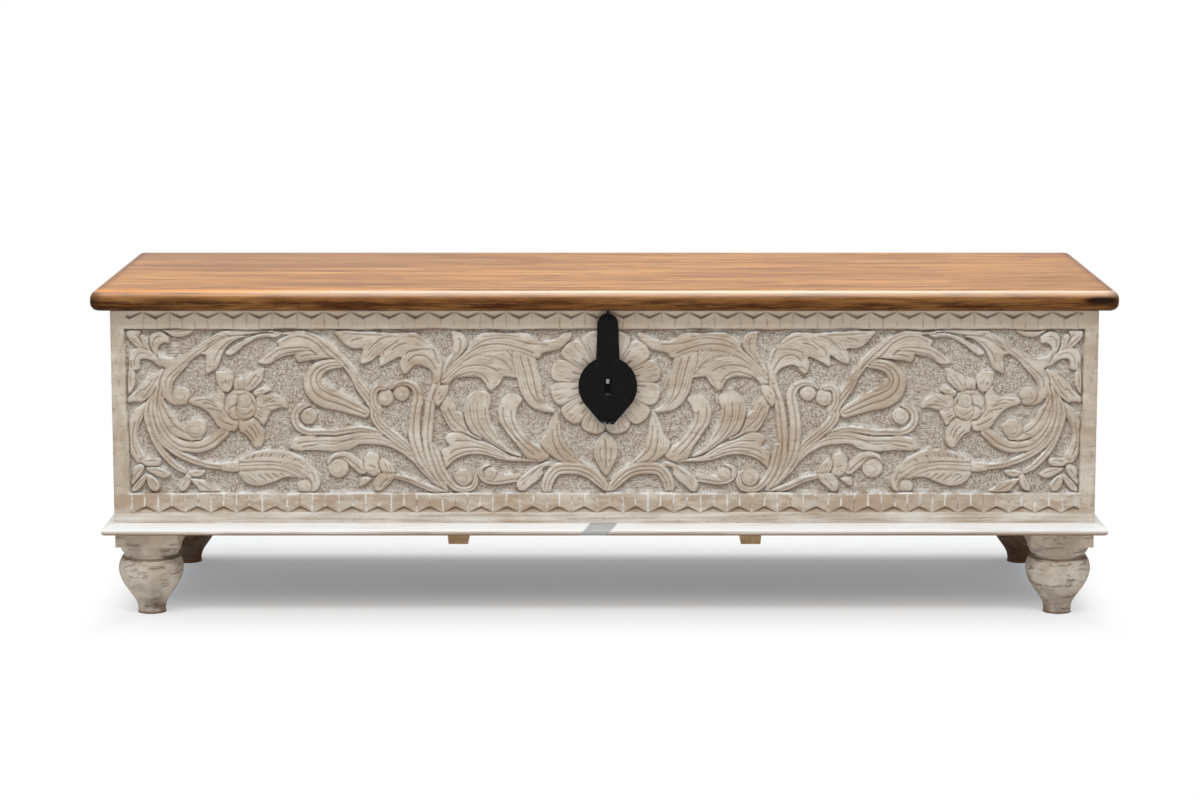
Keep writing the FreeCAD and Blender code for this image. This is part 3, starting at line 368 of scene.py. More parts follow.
def border_leaves(relief):
    relief.leaf("-492,387 -504,386 -516,384 -528,376 -537,367 -543,361 -537,360 -535,356 -536,348 -536,338 "
                "-535,334 -523,340 -519,345 -516,354 -511,365 -504,374 -494,381 -480,386",
                "-526,347 -521,360 -513,371 -500,381 -489,385", "-540,363 -528,373 -514,382 -498,385")
    relief.leaf("-434,388 -447,390 -460,389 -476,384 -493,375 -504,368 -510,363 -508,360 -502,359 -495,363 "
                "-489,368 -480,375 -467,382 -454,384 -442,383",
                "-503,364 -493,372 -478,380 -462,385 -447,387")
    relief.leaf("-515,393 -496,395 -476,395 -453,394 -434,391 -420,392 -409,393 -417,386 -434,388 -454,391 "
                "-476,388 -492,387 -506,387 -512,390", "-506,391 -480,392 -454,392")


def branch_and_scroll(relief):
    relief.stem("-355,349,6.7 -374,346,8 -387,338,10.5 -392,326,13 -387,312,15.5 -374,303,16 "
                "-357,297,13.5 -341,290,11 -323,282,8", grooves=(-0.25, 0.35))
    relief.leaf("-383,322 -377,316 -367,312 -360,313 -366,318 -373,322 -378,329", "-378,321 -367,315")
    relief.leaf("-466,350 -458,358 -448,366 -438,372 -440,378 -431,384 -417,390 -404,393 -392,389 -380,384 "
                "-378,384 -362,372 -349,360 -340,349 -332,338 -324,324 -319,315 -329,308 -337,321 -344,333 "
                "-353,345 -362,354 -373,355 -401,352 -410,350 -415,354 -416,358 -416,361 -421,360 -431,358 "
                "-440,354 -449,348 -459,347", "-460,350 -448,360 -436,367 -418,370 -398,369 -384,357",
                "-447,352 -434,360 -417,364 -399,366 -389,363",
                "-436,376 -420,384 -404,384 -387,376 -375,363 -358,346 -342,322",
                "-412,357 -398,360 -384,361", "-406,392 -387,383 -378,375 -359,358 -342,339 -328,315")
    relief.ball(-399, 277, 12)
    relief.stem("-398,292,2.2 -408,290,4.7 -416,281,5.4 -416,268,5.6 -409,259,5.4 -398,255,5.1 "
                "-383,255,4.9 -370,255,5.1 -363,255,5.6 -343,258,5.1 -324,259,4.9 -302,254,4.5",
                grooves=(0,))
    relief.leaf("-424,232 -423,238 -417,246 -405,250 -394,251 -386,249 -368,249 -350,251 -330,255 -310,254 "
                "-296,250 -285,244 -272,236 -258,226 -249,210 -259,214 -271,224 -285,232 -296,236 -312,238 "
                "-330,238 -337,234 -347,230 -364,228 -380,229 -400,230 -411,229",
                "-418,238 -402,242 -383,243 -377,243 -354,243 -330,249 -310,250 -291,246 -274,236 -260,225",
                "-411,234 -389,238 -384,240 -363,239 -347,243 -328,246 -308,246 -290,241 -271,229")
    relief.stem("-348,345,0.7 -338,331,3.8 -328,316,6.9 -318,303,7.8 -308,287,8 -308,275,7.6 -300,263,7.1 "
                "-286,251,6.9 -273,241,6.7 -261,229,5.6 -249,210,4.9 -234,193,4.5 -219,177,3.3",
                grooves=(-0.3, 0.3))


def veined_leaf(relief):
    relief.leaf("-495,210 -493,217 -487,222 -478,226 -462,231 -445,232 "
                "-428,230 -414,224 -400,215 -391,205 -386,194 -384,186 -386,178 -391,173 -398,171.5 -405,172 "
                "-413,175 -413,190 -425,193 -434,192 -443,188 -454,184 -466,181 -477,182 -486,186 "
                "-492,193 -495,200",
                "-485,197 -469,186", "-470,199 -454,187", "-461,200 -445,189", "-452,201 -438,191",
                "-442,201 -430,194", "-400,205 -393,196 -390,184")
    relief.leaf("-494,213 -487,222 -478,226 -462,231 -445,232 -428,230 -414,224 -402,216 -394,205 -398,199 "
                "-406,204 -418,210 -432,213 -450,214 -470,214", "-486,216 -478,223", "-478,216 -469,226",
                "-467,217 -459,228", "-455,218 -447,228", "-438,217 -430,226", "-424,212 -415,220",
                dish=VEINED_LEAF_DISH)
    relief.stem("-495,207,5.6 -479,208,5.3 -461,209,5.2 -443,208,4.8 -427,204,4.2 -413,197,3.4 -400,189,2",
                grooves=(0.3,))
    relief.ball(-405, 181, 10.3)
    relief.leaf("-516,212 -512,214 -495,215 -494,208 -495,201 -512,201 -516,203", "-513,212 -513,203")


def blossom(relief):
    relief.leaf("-560,297 -552,303 -534,303 -523,311 -522,318 -514,315 -513,311 -511,300 -511,285 -504,278 "
                "-492,270 -493,262 -499,256 -511,257 -520,262 -525,269 -534,281 -544,288 -556,292",
                "-544,295 -531,294 -519,288", "-554,297 -539,300 -537,300 -522,294",
                "-526,283 -515,280 -508,273", "-524,276 -511,268 -497,263", "-538,288 -522,285 -511,281")
    relief.leaf("-522,337 -510,338 -502,334 -498,328 -500,318 -505,310 -512,310 -518,316 -522,324",
                "-510,329 -508,318", "-515,327 -513,315", "-505,327 -505,316")
    relief.leaf("-486,312 -487,324 -481,332 -472,338 -458,342 -459,333 -461,324 -467,318 -476,311",
                "-484,313 -474,327 -466,336", "-478,312 -468,324 -462,333")
    relief.leaf("-498,312 -498,327 -492,329 -486,327 -486,313", "-492,325 -493,313")
    relief.leaf("-472,311 -461,316 -455,317 -450,312 -455,308 -466,303 -472,305", "-468,310 -456,313")
    relief.leaf("-472,289 -467,304 -457,306 -446,308 -437,305 -430,299 -426,288 -437,288 -451,284",
                "-464,292 -452,296 -440,297", "-463,295 -450,300 -444,305", "-460,289 -444,292 -430,290")
    relief.leaf("-473,289 -462,288 -450,284 -453,275 -455,270 -460,264 -468,269 -475,277",
                "-472,286 -457,278", "-471,282 -459,273", "-468,287 -454,282", "-474,277 -462,268")
    relief.leaf("-492,270 -482,272 -473,274 -464,266 -459,256 -459,244 -462,236 -468,233 -473,235 -478,244 "
                "-485,252 -492,256", "-482,266 -473,257 -468,244", "-487,260 -478,251 -471,240",
                "-476,269 -468,259 -464,248")
    rose(relief)


def rose(relief):
    """The heart of a blossom: a boss with round petals folded one over the other."""
    x, z = ROSE_PLACE
    relief.ball(x, z, ROSE_RADIUS)
    for across, up, radius in ROSE_FOLDS:
        relief.ball(x + across, z + up, radius)


def stem_acanthus(relief):
    relief.stem("-286,315,2.2 -278,321,3.6 -266,322,4.7 -255,316,6 -251,306,7.1 -252,294,7.6 -253,292,7.6 "
                "-256,270,7.8 -256,248,8.3 -248,222,7.4 -236,202,6.2 -221,184,4.5 -211,172,2.2",
                grooves=(-0.1,))
    relief.stem("-224,330,7.4 -227,316,6.2 -234,294,6.9 -237,272,7.4 -239,254,7.4 -238,236,6.7 "
                "-234,217,6.2 -227,199,5.4 -218,184,4.2 -211,171,2", grooves=(0.1,))
    relief.leaf("-361,393 -357,383 -350,375 -343,370 -333,368 -325,368 -328,357 -327,348 -315,351 -303,359 "
                "-303,350 -301,344 -290,350 -274,357 -275,349 -274,341 -270,334 -264,336 -258,343 -252,346 "
                "-243,344 -235,340 -230,331 -230,322 -221,324 -216,338 -219,354 -224,366 -236,376 -235,376 "
                "-246,386 -257,391 -284,390 -317,392", "-343,376 -335,381 -322,383",
                "-320,363 -310,374 -297,383 -282,386", "-298,357 -296,366 -284,375 -274,382",
                "-288,365 -277,373 -263,377", "-268,357 -264,364 -253,367 -240,368 -230,366 -226,349",
                "-266,349 -257,358 -247,360 -237,356 -230,347 -225,336",
                "-267,386 -253,384 -239,376 -228,365 -222,345", "-355,390 -328,388 -295,387")
    relief.ball(-295, 302, 11.8)
    relief.stem("-295,316,3.3 -304,316,5 -310,310,4.9 -311,298,4.7 -307,287,4 -303,280,2.2", grooves=(0,))
    relief.ball(-273, 308, 10.9)


def rosette_acanthus(relief):
    relief.leaf("-219,336 -214,350 -206,363 -204,376 -205,386 -206,392 -197,392 -189,388 -185,378 -185,370 "
                "-189,363 -198,354 -208,345 -214,333", "-199,378 -196,382 -193,378 -195,365 -203,356",
                "-211,345 -203,356 -200,367")
    relief.leaf("-219,320 -218,333 -203,350 -190,362 -182,370 -181,376 -174,383 -164,390 -152,391 -130,390 "
                "-106,390 -97,384 -88,380 -86,379 -66,382 -53,390 -44,390 -45,382 -56,370 -70,365 "
                "-83,362 -87,356 -94,352 -88,336 -84,322 -83,311 -81,300 -77,291 -67,286 -67,281 -73,281 "
                "-90,284 -101,291 -110,302 -115,314 -118,328 -124,329 -135,330 -141,321 -148,314 -153,310 "
                "-159,316 -162,325 -169,329 -181,330 -194,329 -203,327 -210,319",
                "-136,371 -123,357 -117,342 -116,331")
    relief.leaf("-219,323 -206,341 -184,356 -160,359 -138,353 -122,336 -127,330 -138,331 -146,322 -152,311 "
                "-158,318 -169,329 -183,331 -199,329 -212,321",
                "-212,326 -190,343 -163,346 -140,337", "-208,327 -180,337 -163,332 -154,319")
    relief.leaf("-124,352 -122,372 -108,373 -96,364 -91,350 -89,336 -85,322 -84,311 -82,300 -78,291 -67,285 "
                "-69,282 -75,282 -90,285 -101,292 -109,303 -114,315 -117,330",
                "-114,362 -107,336 -102,316 -95,302 -80,288", "-104,360 -97,334 -93,314 -88,300 -76,288")
    relief.leaf("-219,328 -203,347 -190,361 -181,373 -173,382 -163,388 -150,390 -130,389 -106,389 -96,383 "
                "-86,379 -66,381 -53,389 -45,389 -46,382 -57,371 -71,366 -83,362 -88,356 -98,358 -108,362 "
                "-122,366 -140,366 -158,364 -179,358 -199,344 -211,331",
                "-209,338 -190,356 -168,371 -140,375 -112,369 -92,361",
                "-180,368 -160,380 -130,383 -102,376 -72,374", "-168,384 -140,387 -112,384")
    relief.leaf("-230,304 -226,313 -219,319 -210,318 -211,307 -216,298 -224,289 -228,294",
                "-226,304 -219,312", "-224,296 -216,308")


def base_fan(relief):
    relief.leaf("-210,305 -199,288 -200,286 -191,280 -188,269 -180,254 -166,247 -170,244 -190,253 -205,256 "
                "-216,273 -222,289 -220,292", "-212,291 -204,274 -193,263 -182,254",
                "-218,285 -208,267 -197,257")
    relief.leaf("-190,285 -186,301 -177,310 -168,312 -159,310 -153,303 -153,296 -156,286 -155,282 -153,270 "
                "-147,259 -141,246 -128,233 -110,221 -126,224 -148,236 -166,247 -179,254 -187,268 -190,282",
                "-181,296 -181,281 -175,263 -162,247 -145,236",
                "-171,299 -171,278 -165,259 -150,242 -131,229", "-161,292 -160,276 -154,259 -141,242")
    relief.leaf("-144,284 -142,290 -137,301 -128,307 -119,306 -110,300 -116,289 -119,277 -118,270 -111,257 "
                "-99,243 -86,235 -74,224 -81,215 -101,215 -117,235 -130,251 -137,261 -142,270",
                "-136,292 -136,274 -126,254 -109,236 -92,222", "-126,288 -124,269 -114,251 -98,236 -83,225",
                "-130,265 -121,250 -112,240")
    relief.leaf("-81,251 -79,252 -74,268 -66,282 -60,272 -58,254 -48,233 -29,216 -4,199 2,189 -19,193 "
                "-46,208 -62,216 -74,224 -86,238", "-71,262 -68,239 -56,220 -31,208",
                "-64,268 -62,247 -52,229 -27,210")
    relief.leaf("-215,206 -220,225 -219,231 -210,236 -214,242 -215,247 -211,252 -202,255 -190,253 -177,246 "
                "-159,240 -142,232 -126,223 -104,218 -92,215 -104,214 -128,215 -143,218 -159,223 -170,224 "
                "-182,224 -193,221 -204,215", "-210,224 -201,231 -186,234 -170,234 -156,231 -142,224",
                "-204,243 -182,243 -165,238 -148,231 -131,222",
                "-213,213 -202,222 -186,228 -168,229 -150,224 -131,218")


def bottom_scrolls(relief):
    relief.stem("-232,236,4.9 -226,220,5.8 -220,203,5.8 -211,188,5.4 -200,178,4.9 -188,176,4.7 "
                "-178,180,4.5 -174,189,4 -176,197,2.9 -183,203,1.6", grooves=(0,))
    relief.ball(-190, 193, 12.5)
    relief.stem("-118,193,6.9 -128,192,7.1 -139,190,6.9 -151,189,6.2 -161,191,5.4 -167,197,4.5 "
                "-167,204,3.6 -162,208,2.7 -154,210,1.1", grooves=(0.3,))
    relief.ball(-155, 198, 9.4)
    relief.leaf("-119,181 -117,190 -109,197 -98,205 -86,212 -74,215 -60,204 -75,208 -83,204 -83,197 "
                "-91,188 -101,180 -109,173 -115,173", "-113,179 -105,190 -92,203",
                "-115,186 -100,198 -83,210")


def bud_on_stalk(relief):
    relief.stem("-284,195,3.8 -263,190,4.7 -243,181,4.7 -228,176,4.5 -211,171,1.1", grooves=(-0.2,))
    relief.stem("-371,213,3.6 -363,221,5.6 -350,222,6.8 -338,214,8 -327,204,7.5", grooves=(-0.2,))
    relief.ball(-359, 206, 14)
    relief.leaf("-328,194 -315,192 -319,186 -330,180 -331,187", "-327,190 -328,182")
    relief.leaf("-324,221 -317,228 -308,225 -303,220 -304,208 -301,199 -310,194 -317,196 -324,203 -325,208",
                "-321,210 -312,208 -306,204", "-320,203 -312,199")
    relief.leaf("-303,217 -299,220 -292,215 -286,207 -282,199 -297,198 -302,203 -304,211",
                "-298,215 -291,200", "-292,212 -286,200")
    relief.leaf("-283,198 -286,189 -294,181 -303,173 -308,172 -312,178 -312,187 -307,195 -300,199 -290,199",
                "-290,195 -299,186 -307,177")


def palmette(relief):
    relief.stem("5,174,2.9 -4,185,7 -17,197,8.2 -31,204,8.6 -48,206,8.6 -64,204,8.6 -74,193,8.2 "
                "-78,182,7.8 -78,176,6.2", grooves=(-0.3, 0.35))
    relief.single_leaf("1,256 -10,243 -15,229 -11,213 2,195 14,213 18,229 14,243", "1,249 2,226 2,204",
                       "-5,237 -6,224 -2,210", "9,237 9,224 6,210")


def rosette(relief):
    """Twelve petals round the hasp's staple, each a little over the one before."""
    centre = np.array([ROSETTE_X, ROSETTE_Z])
    edge = [*PETAL_SIDE, (ROSETTE_RADIUS, 0), *((r, -w) for r, w in PETAL_SIDE[::-1])]
    for petal in range(ROSETTE_PETALS):
        turn = 2 * math.pi * (petal + 0.5) / ROSETTE_PETALS
        out = np.array([math.cos(turn), math.sin(turn)]) * ROSETTE_STRETCH
        across = np.array([-math.sin(turn), math.cos(turn)]) * ROSETTE_STRETCH
        outline = np.array([centre + r * out + w * across for r, w in edge])
        lines = [np.array([centre + r * out + slope * r * across for r in radii])
                 for slope, radii in PETAL_VEINS]
        relief.cut_leaf(outline, lines, PETAL_DISH)


def triangle_wave(x, start):
    """0 at start and every pitch from it, 1 half way between."""
    phase = ((x - start) / ZIGZAG_PITCH) % 1
    return 1 - np.abs(2 * phase - 1)


def waved(place, *waves):
    """An edge cut by eye: a few long waves, each given by its height and length."""
    return sum(height * np.sin(place / length) for height, length in waves)


def strayed(x, above, sway, lean):
    """How far a score strays from its place: its foot sways along the band and its top leans."""
    slant, length = lean
    return waved(x, sway) + above * slant * np.sin(x / length)


def scored(x, start, stray):
    """Depth of the upright scores, one every half pitch, none quite plumb."""
    step = ZIGZAG_PITCH / 2
    off = np.abs((x - start + stray + step / 2) % step - step / 2)
    return SCORE_DEPTH * np.clip(1 - off / SCORE_WIDTH, 0, 1)


def drawn_line(beside, width):
    """A dark line along a zigzag's edge."""
    return np.clip(1 - np.abs(beside - LINE_OFFSET) / width, 0, 1)


def top_band(x, z):
    """Chips above a zigzag under the lid and scores down to the field, with their dark and white lines."""
    rise = triangle_wave(x, TOP_VALLEY_X)
    above = z - (TOP_VALLEY_Z + (TOP_PEAK_Z - TOP_VALLEY_Z) * rise)
    chip = CHIP_DEPTH * ease(above / WALL) * np.clip((TOP_PEAK_Z + CHIP_RUNOUT - z) / CHIP_SLOPE, 0, 1)
    stray = strayed(x, z - FIELD_TOP, TOP_SWAY, TOP_LEAN)
    score = scored(x, TOP_VALLEY_X, stray) * ease(-above / WALL) * ease((z - FIELD_TOP - WALL) / WALL)
    dark = drawn_line(above, TOP_LINE_WIDTH + TOP_LINE_SWELL * (1 - rise))
    return chip + score, TOP_LINE_DARK * dark, TOP_SCORE_WHITE * score / SCORE_DEPTH


def bottom_band(x, z):
    """Chips with the point up along the skirt and scores up to the field, with their dark and white lines."""
    rise = 1 - triangle_wave(x, LOW_PEAK_X)
    under = LOW_BASE_Z + (LOW_PEAK_Z - LOW_BASE_Z) * rise - z
    chip = CHIP_DEPTH * ease(under / WALL) * np.clip((z - LOW_BASE_Z + CHIP_RUNOUT) / CHIP_SLOPE, 0, 1)
    stray = strayed(x, z - FIELD_LOW, LOW_SWAY, LOW_LEAN)
    score = scored(x, LOW_PEAK_X, stray) * ease(-under / WALL) * ease((FIELD_LOW - z) / WALL)
    dark = drawn_line(under, LOW_LINE_WIDTH + LOW_LINE_SWELL * rise) * (z > LOW_BASE_Z - WALL)
    return chip + score, dark + LOW_CHIP_DARK * chip / CHIP_DEPTH, score / SCORE_DEPTH


def frame_round_field(relief):
    """Leaves the stiles and bands standing round the field and cuts the bands' pattern."""
    x, z = np.meshgrid(relief.x, relief.z)
    rise = (z - FIELD_LOW) / (FIELD_TOP - FIELD_LOW)
    stile = STILE_LOW + (STILE_TOP - STILE_LOW) * rise + waved(z, STILE_WAVE)
    level = waved(x, *RAIL_WAVES)
    between_rails = np.minimum(z - FIELD_LOW - level, FIELD_TOP - z - level)
    inset = np.minimum(HALF_LENGTH - stile - np.abs(x), between_rails)
    moat = MOAT_DEPTH * np.clip(1 - np.abs(inset - WALL) / MOAT_WIDTH, 0, 1)
    carved = np.maximum(relief.height - moat, 0)
    between_stiles = ease((HALF_LENGTH - STILE_LOW + BAND_END - np.abs(x)) / BAND_FADE)
    upper = z > (FIELD_LOW + FIELD_TOP) / 2
    bands = zip(top_band(x, z), bottom_band(x, z))
    cut, dark, white = (between_stiles * np.where(upper, top, bottom) for top, bottom in bands)
    share = ease((inset + WALL / 2) / WALL)
    relief.height = carved * share + (FACE - cut) * (1 - share)
    sill = np.clip(1 - np.abs(inset + SILL_OUT) / SILL_WIDTH, 0, 1) * (z < FIELD_LOW + SILL_REACH)
    return inset, dark * (1 - share), np.maximum(white * (1 - share), SILL_WHITE * sill)


def hand_finish(relief, inset):
    """Tool marks: a punched ground, soft waves on the leaves and a worn arris round the panel."""
    shape = relief.height.shape
    ground = ease(1 - relief.height / GROUND_HEIGHT) * (inset > 0)
    punch = blurred(rng.normal(size=shape), 1)
    waves = blurred(blurred(rng.normal(size=shape), WAVE_REACH), WAVE_REACH) * WAVE_GAIN
    relief.height += ground * (PUNCH_DEPTH * punch + PUNCH_LIFT) + (1 - ground) * WAVE_HEIGHT * waves
    x, z = np.meshgrid(relief.x, relief.z)
    from_edge = np.minimum(HALF_LENGTH - np.abs(x), np.minimum(RIM - z, z - BASE))
    relief.height -= ARRIS_DROP * (1 - ease(from_edge / ARRIS_WIDTH)) + FACE_WEAR
    relief.height = np.minimum(relief.height, FACE)
    return ground


def shading_marks(relief, ground, dark, white):
    """Where dirt and painted shade lie, where worn white and a painted highlight sit on edges that face up,
    and where the ground shows, each from 0 to 1.
    """
    height = relief.height
    slope = np.gradient(height, CELL, axis=0)
    overhang = np.clip(slope / STEEP, 0, 1)
    ledge = np.clip(-slope / STEEP, 0, 1)
    facing_up = np.clip(-slope / FACING_UP_SLOPE, 0, 1)
    # Painted light: the fine shade is taken off edges that face up, as if they were lit from above.
    less_shade_facing_up = 1 - UPLIT_SHARE * blurred(facing_up, 1)
    deep = np.clip((blurred(height, 4) - height) / DEEP_HOLLOW, 0, 1) * (1 - GROUND_SHELTER * ground)
    fine = np.clip((blurred(height, 2) - height) / FINE_HOLLOW, 0, FINE_LIMIT) * (1 - ground) * less_shade_facing_up
    crest = np.clip((height - blurred(height, 2)) / CREST_RISE, 0, 1) * (height > CREST_FROM)
    # Painted shadow, partly dirt: the ground just below a form is darkened as if it lay in the form's cast
    # shade.
    silt_and_cast_shade = np.clip(EDGE_GAIN * blurred(overhang, 2), 0, 1) * ground
    chalk_and_highlight = np.clip(EDGE_GAIN * blurred(ledge, 3), 0, 1) * ground
    # Dirt and painted shade: hollows, creases and the walls under forms are darkened as if in shade.
    dirt_and_shade = DEEP_DIRT_AND_SHADE * deep + FINE_DIRT_AND_SHADE * fine + OVERHANG_DIRT_AND_SHADE * blurred(overhang, 1)
    dirt_and_shade += SILT_AND_CAST_SHADE * silt_and_cast_shade + LINE_DARKENING * dark
    # Worn white and a painted highlight: crests and the ground by ledges that face up are whitened as if lit
    # from above.
    white_and_highlight = CREST_WHITE_AND_HIGHLIGHT * crest * facing_up + CHALK_WHITE_AND_HIGHLIGHT * chalk_and_highlight + white
    return {"hollow": np.clip(dirt_and_shade, 0, 1), "ground": ground, "crest": np.clip(white_and_highlight, 0, 1)}


def strip_mesh(name, relief, marks, first, last):
    """A closed length of the panel: carved face, square edges and a plain inner face."""
    x, z = np.meshgrid(relief.x[first:last + 1], relief.z)
    depth = FACE - relief.height[:, first:last + 1]
    face = np.dstack([x * MM, PANEL_LOW.y * MM + depth * MM, z * MM]).reshape(-1, 3)
    rows, columns = x.shape
    index = np.arange(rows * columns).reshape(rows, columns)
    inner_y = np.full(columns, PANEL_HIGH.y * MM)
    low_back, top_back = (np.dstack([x[row] * MM, inner_y, z[row] * MM]).reshape(-1, 3) for row in (0, -1))
    low_index = index.size + np.arange(columns)
    top_index = low_index + columns
    carved = np.dstack([index[:-1, :-1], index[:-1, 1:], index[1:, 1:], index[1:, :-1]]).reshape(-1, 4)
    under = np.stack([index[0, 1:], index[0, :-1], low_index[:-1], low_index[1:]], 1)
    over = np.stack([index[-1, :-1], index[-1, 1:], top_index[1:], top_index[:-1]], 1)
    back = np.stack([low_index[1:], low_index[:-1], top_index[:-1], top_index[1:]], 1)
    left = np.array([*index[::-1, 0], low_index[0], top_index[0]])
    right = np.array([*index[:, -1], top_index[-1], low_index[-1]])
    quads = np.vstack([carved, under, over, back])
    polygons = [*quads.tolist(), left.tolist(), right.tolist()]
    mesh = bpy.data.meshes.new(name)
    mesh.from_pydata(np.vstack([face, low_back, top_back]).tolist(), [], polygons)
    number = np.arange(len(polygons))
    mesh.polygons.foreach_set("use_smooth", number < len(carved))
    first_inner = len(carved) + len(under) + len(over)
    inner = (number >= first_inner) & (number < first_inner + len(back))
    mesh.polygons.foreach_set("material_index", inner.astype(np.int32))
    for mark, values in marks.items():
        layer = mesh.attributes.new(mark, "FLOAT", "POINT")
        filled = np.zeros(len(mesh.vertices), np.float32)
        filled[:index.size] = values[:, first:last + 1].ravel()
        layer.data.foreach_set("value", filled)
    mesh.update()
    return mesh


def placed(name, data):
    """A new object at the origin of the scene."""
    made = bpy.data.objects.new(name, data)
    bpy.context.scene.collection.objects.link(made)
    return made


def carved_front(wash, inside):
    """The carved panel, in strips that stay small enough to hand on."""
    relief = Relief()
    for motif in (stile_frond_and_stems, bottom_sprays, corner_leaves, arch_stem, border_leaves,
                  branch_and_scroll, veined_leaf, blossom, stem_acanthus, rosette_acanthus, base_fan,
                  bottom_scrolls, bud_on_stalk, palmette, rosette):
        motif(relief)
    inset, dark, white = frame_round_field(relief)
    ground = hand_finish(relief, inset)
    marks = shading_marks(relief, ground, dark, white)
    cuts = np.linspace(0, len(relief.x) - 1, PANEL_STRIPS + 1).astype(int)
    for number, (first, last) in enumerate(zip(cuts[:-1], cuts[1:]), 1):
        name = "carved_front_%d" % number
        piece = placed(name, strip_mesh(name, relief, marks, first, last))
        piece.data.materials.append(wash)
        piece.data.materials.append(inside)
        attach(piece, "case")
        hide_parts("front_panel")


class Finish:
    """A material under way: adds nodes, and links or sets their inputs by name."""

    def __init__(self, name):
        self.material = bpy.data.materials.new(name)
        self.material.use_nodes = True
        self.tree = self.material.node_tree
        self.shader = self.tree.nodes["Principled BSDF"]
        self.place = self.node("ShaderNodeTexCoord").outputs["Object"]

    def put(self, socket, value):
        """Links a socket to another or sets its value."""
        if isinstance(value, bpy.types.NodeSocket):
            self.tree.links.new(value, socket)
        else:
            socket.default_value = value

    def node(self, kind, inputs=None, **settings):
        made = self.tree.nodes.new(kind)
        for setting, value in settings.items():
            setattr(made, setting, value)
        for name, value in (inputs or {}).items():
            self.put(made.inputs[name], value)
        return made

    def surface(self, **inputs):
        """Sets the shader's inputs, with an underscore for each space in their names."""
        for name, value in inputs.items():
            self.put(self.shader.inputs[name.replace("_", " ")], value)

    def stretched(self, scale, turn=(0, 0, 0), vector=None):
        return self.node("ShaderNodeMapping", {"Vector": vector or self.place, "Scale": scale,
                                               "Rotation": turn}).outputs["Vector"]

    def noise(self, vector, scale=1.0, detail=4.0, roughness=0.55, distortion=0.0):
        inputs = {"Vector": vector, "Scale": scale, "Detail": detail, "Roughness": roughness,
                  "Distortion": distortion}
        return self.node("ShaderNodeTexNoise", inputs).outputs["Fac"]

    def streaks(self, scale, detail=4.0, roughness=0.55, distortion=0.0, vector=None):
        """Noise drawn out along the axes that have a small scale."""
        return self.noise(self.stretched(scale, vector=vector), 1.0, detail, roughness, distortion)

    def ramp(self, value, *stops):
        """A colour that runs through stops, each a position and a colour."""
        made = self.node("ShaderNodeValToRGB", {"Fac": value})
        elements = made.color_ramp.elements
        for spare in range(len(stops) - 2):
            elements.new(0.5)
        for element, (position, colour) in zip(elements, stops):
            element.position = position
            element.color = colour if len(colour) == 4 else (*colour, 1)
        return made.outputs["Color"]

    def band(self, value, low, high, reverse=False):
        """0 below low, 1 above high, or the other way round."""
        ends = {"From Min": low, "From Max": high, "To Min": 1.0 if reverse else 0.0,
                "To Max": 0.0 if reverse else 1.0, "Value": value}
        return self.node("ShaderNodeMapRange", ends, interpolation_type="SMOOTHSTEP").outputs["Result"]

    def mix(self, share, first, second):
        """A share of the second colour over the first."""
        made = self.node("ShaderNodeMix", data_type="RGBA", blend_type="MIX")
        self.put(made.inputs[0], share)
        self.put(made.inputs[6], first)
        self.put(made.inputs[7], second)
        return made.outputs[2]

    def math(self, operation, first, second=0.0):
        made = self.node("ShaderNodeMath", operation=operation)
        self.put(made.inputs[0], first)
        self.put(made.inputs[1], second)
        return made.outputs[0]

    def times(self, first, *others):
        """The product of some shares."""
        for other in others:
            first = self.math("MULTIPLY", first, other)
        return first

    def lifted(self, share, least, gain):
        """A share that starts at least and grows by a gain."""
        return self.math("ADD", least, self.times(share, gain))

    def mark(self, name):
        """A mark stored on the carved panel's points."""
        return self.node("ShaderNodeAttribute", attribute_name=name).outputs["Fac"]

    def along(self):
        """The place along x, y and z, in metres."""
        split = self.node("ShaderNodeSeparateXYZ", {"Vector": self.place})
        return split.outputs["X"], split.outputs["Y"], split.outputs["Z"]

    def bump(self, height, distance):
        made = self.node("ShaderNodeBump", {"Height": height, "Distance": distance, "Strength": 1.0})
        self.put(self.shader.inputs["Normal"], made.outputs["Normal"])


def paint(red, green, blue):
    """A colour as seen on a screen, 0 to 255, in the linear values that a shader takes."""
    return tuple((c / 255 / 12.92) if c <= 10 else ((c / 255 + 0.055) / 1.055) ** 2.4
                 for c in (red, green, blue)) + (1.0,)


# Whitewash and the bare wood under it
WASH_LIGHT = paint(212, 201, 187)
WASH_MID = paint(192, 178, 162)
WASH_WARM = paint(176, 154, 132)
WASH_DIRT_AND_SHADE = paint(118, 90, 67)
WASH_GROUND = paint(208, 197, 183)
WASH_GROUND_DARK = paint(132, 114, 98)
WASH_BAND = paint(214, 193, 170)
WASH_WHITE = paint(246, 245, 240)
RAW_LIGHT = paint(190, 158, 122)
RAW_DARK = paint(150, 116, 82)

# Grain of the planks: noise scales along x, y and z, small along the fibres
GRAIN_LONG, GRAIN_ACROSS, GRAIN_UPRIGHT = (5, 60, 160), (60, 5, 160), (70, 70, 6)
GRAIN_PLANK, GRAIN_BATTEN = (4, 60, 60), (60, 4, 60)
GRAIN_CARVED, GRAIN_FOOT = (18, 40, 80), (40, 40, 60)
CLOUD_LEAST, CLOUD_SHARE, THREAD_TIMES = 8, 0.12, 3
SCUFF_LEAST, SCUFF_SHARE = 6, 0.25
INNER_EDGE = (0.0005, 0.003)

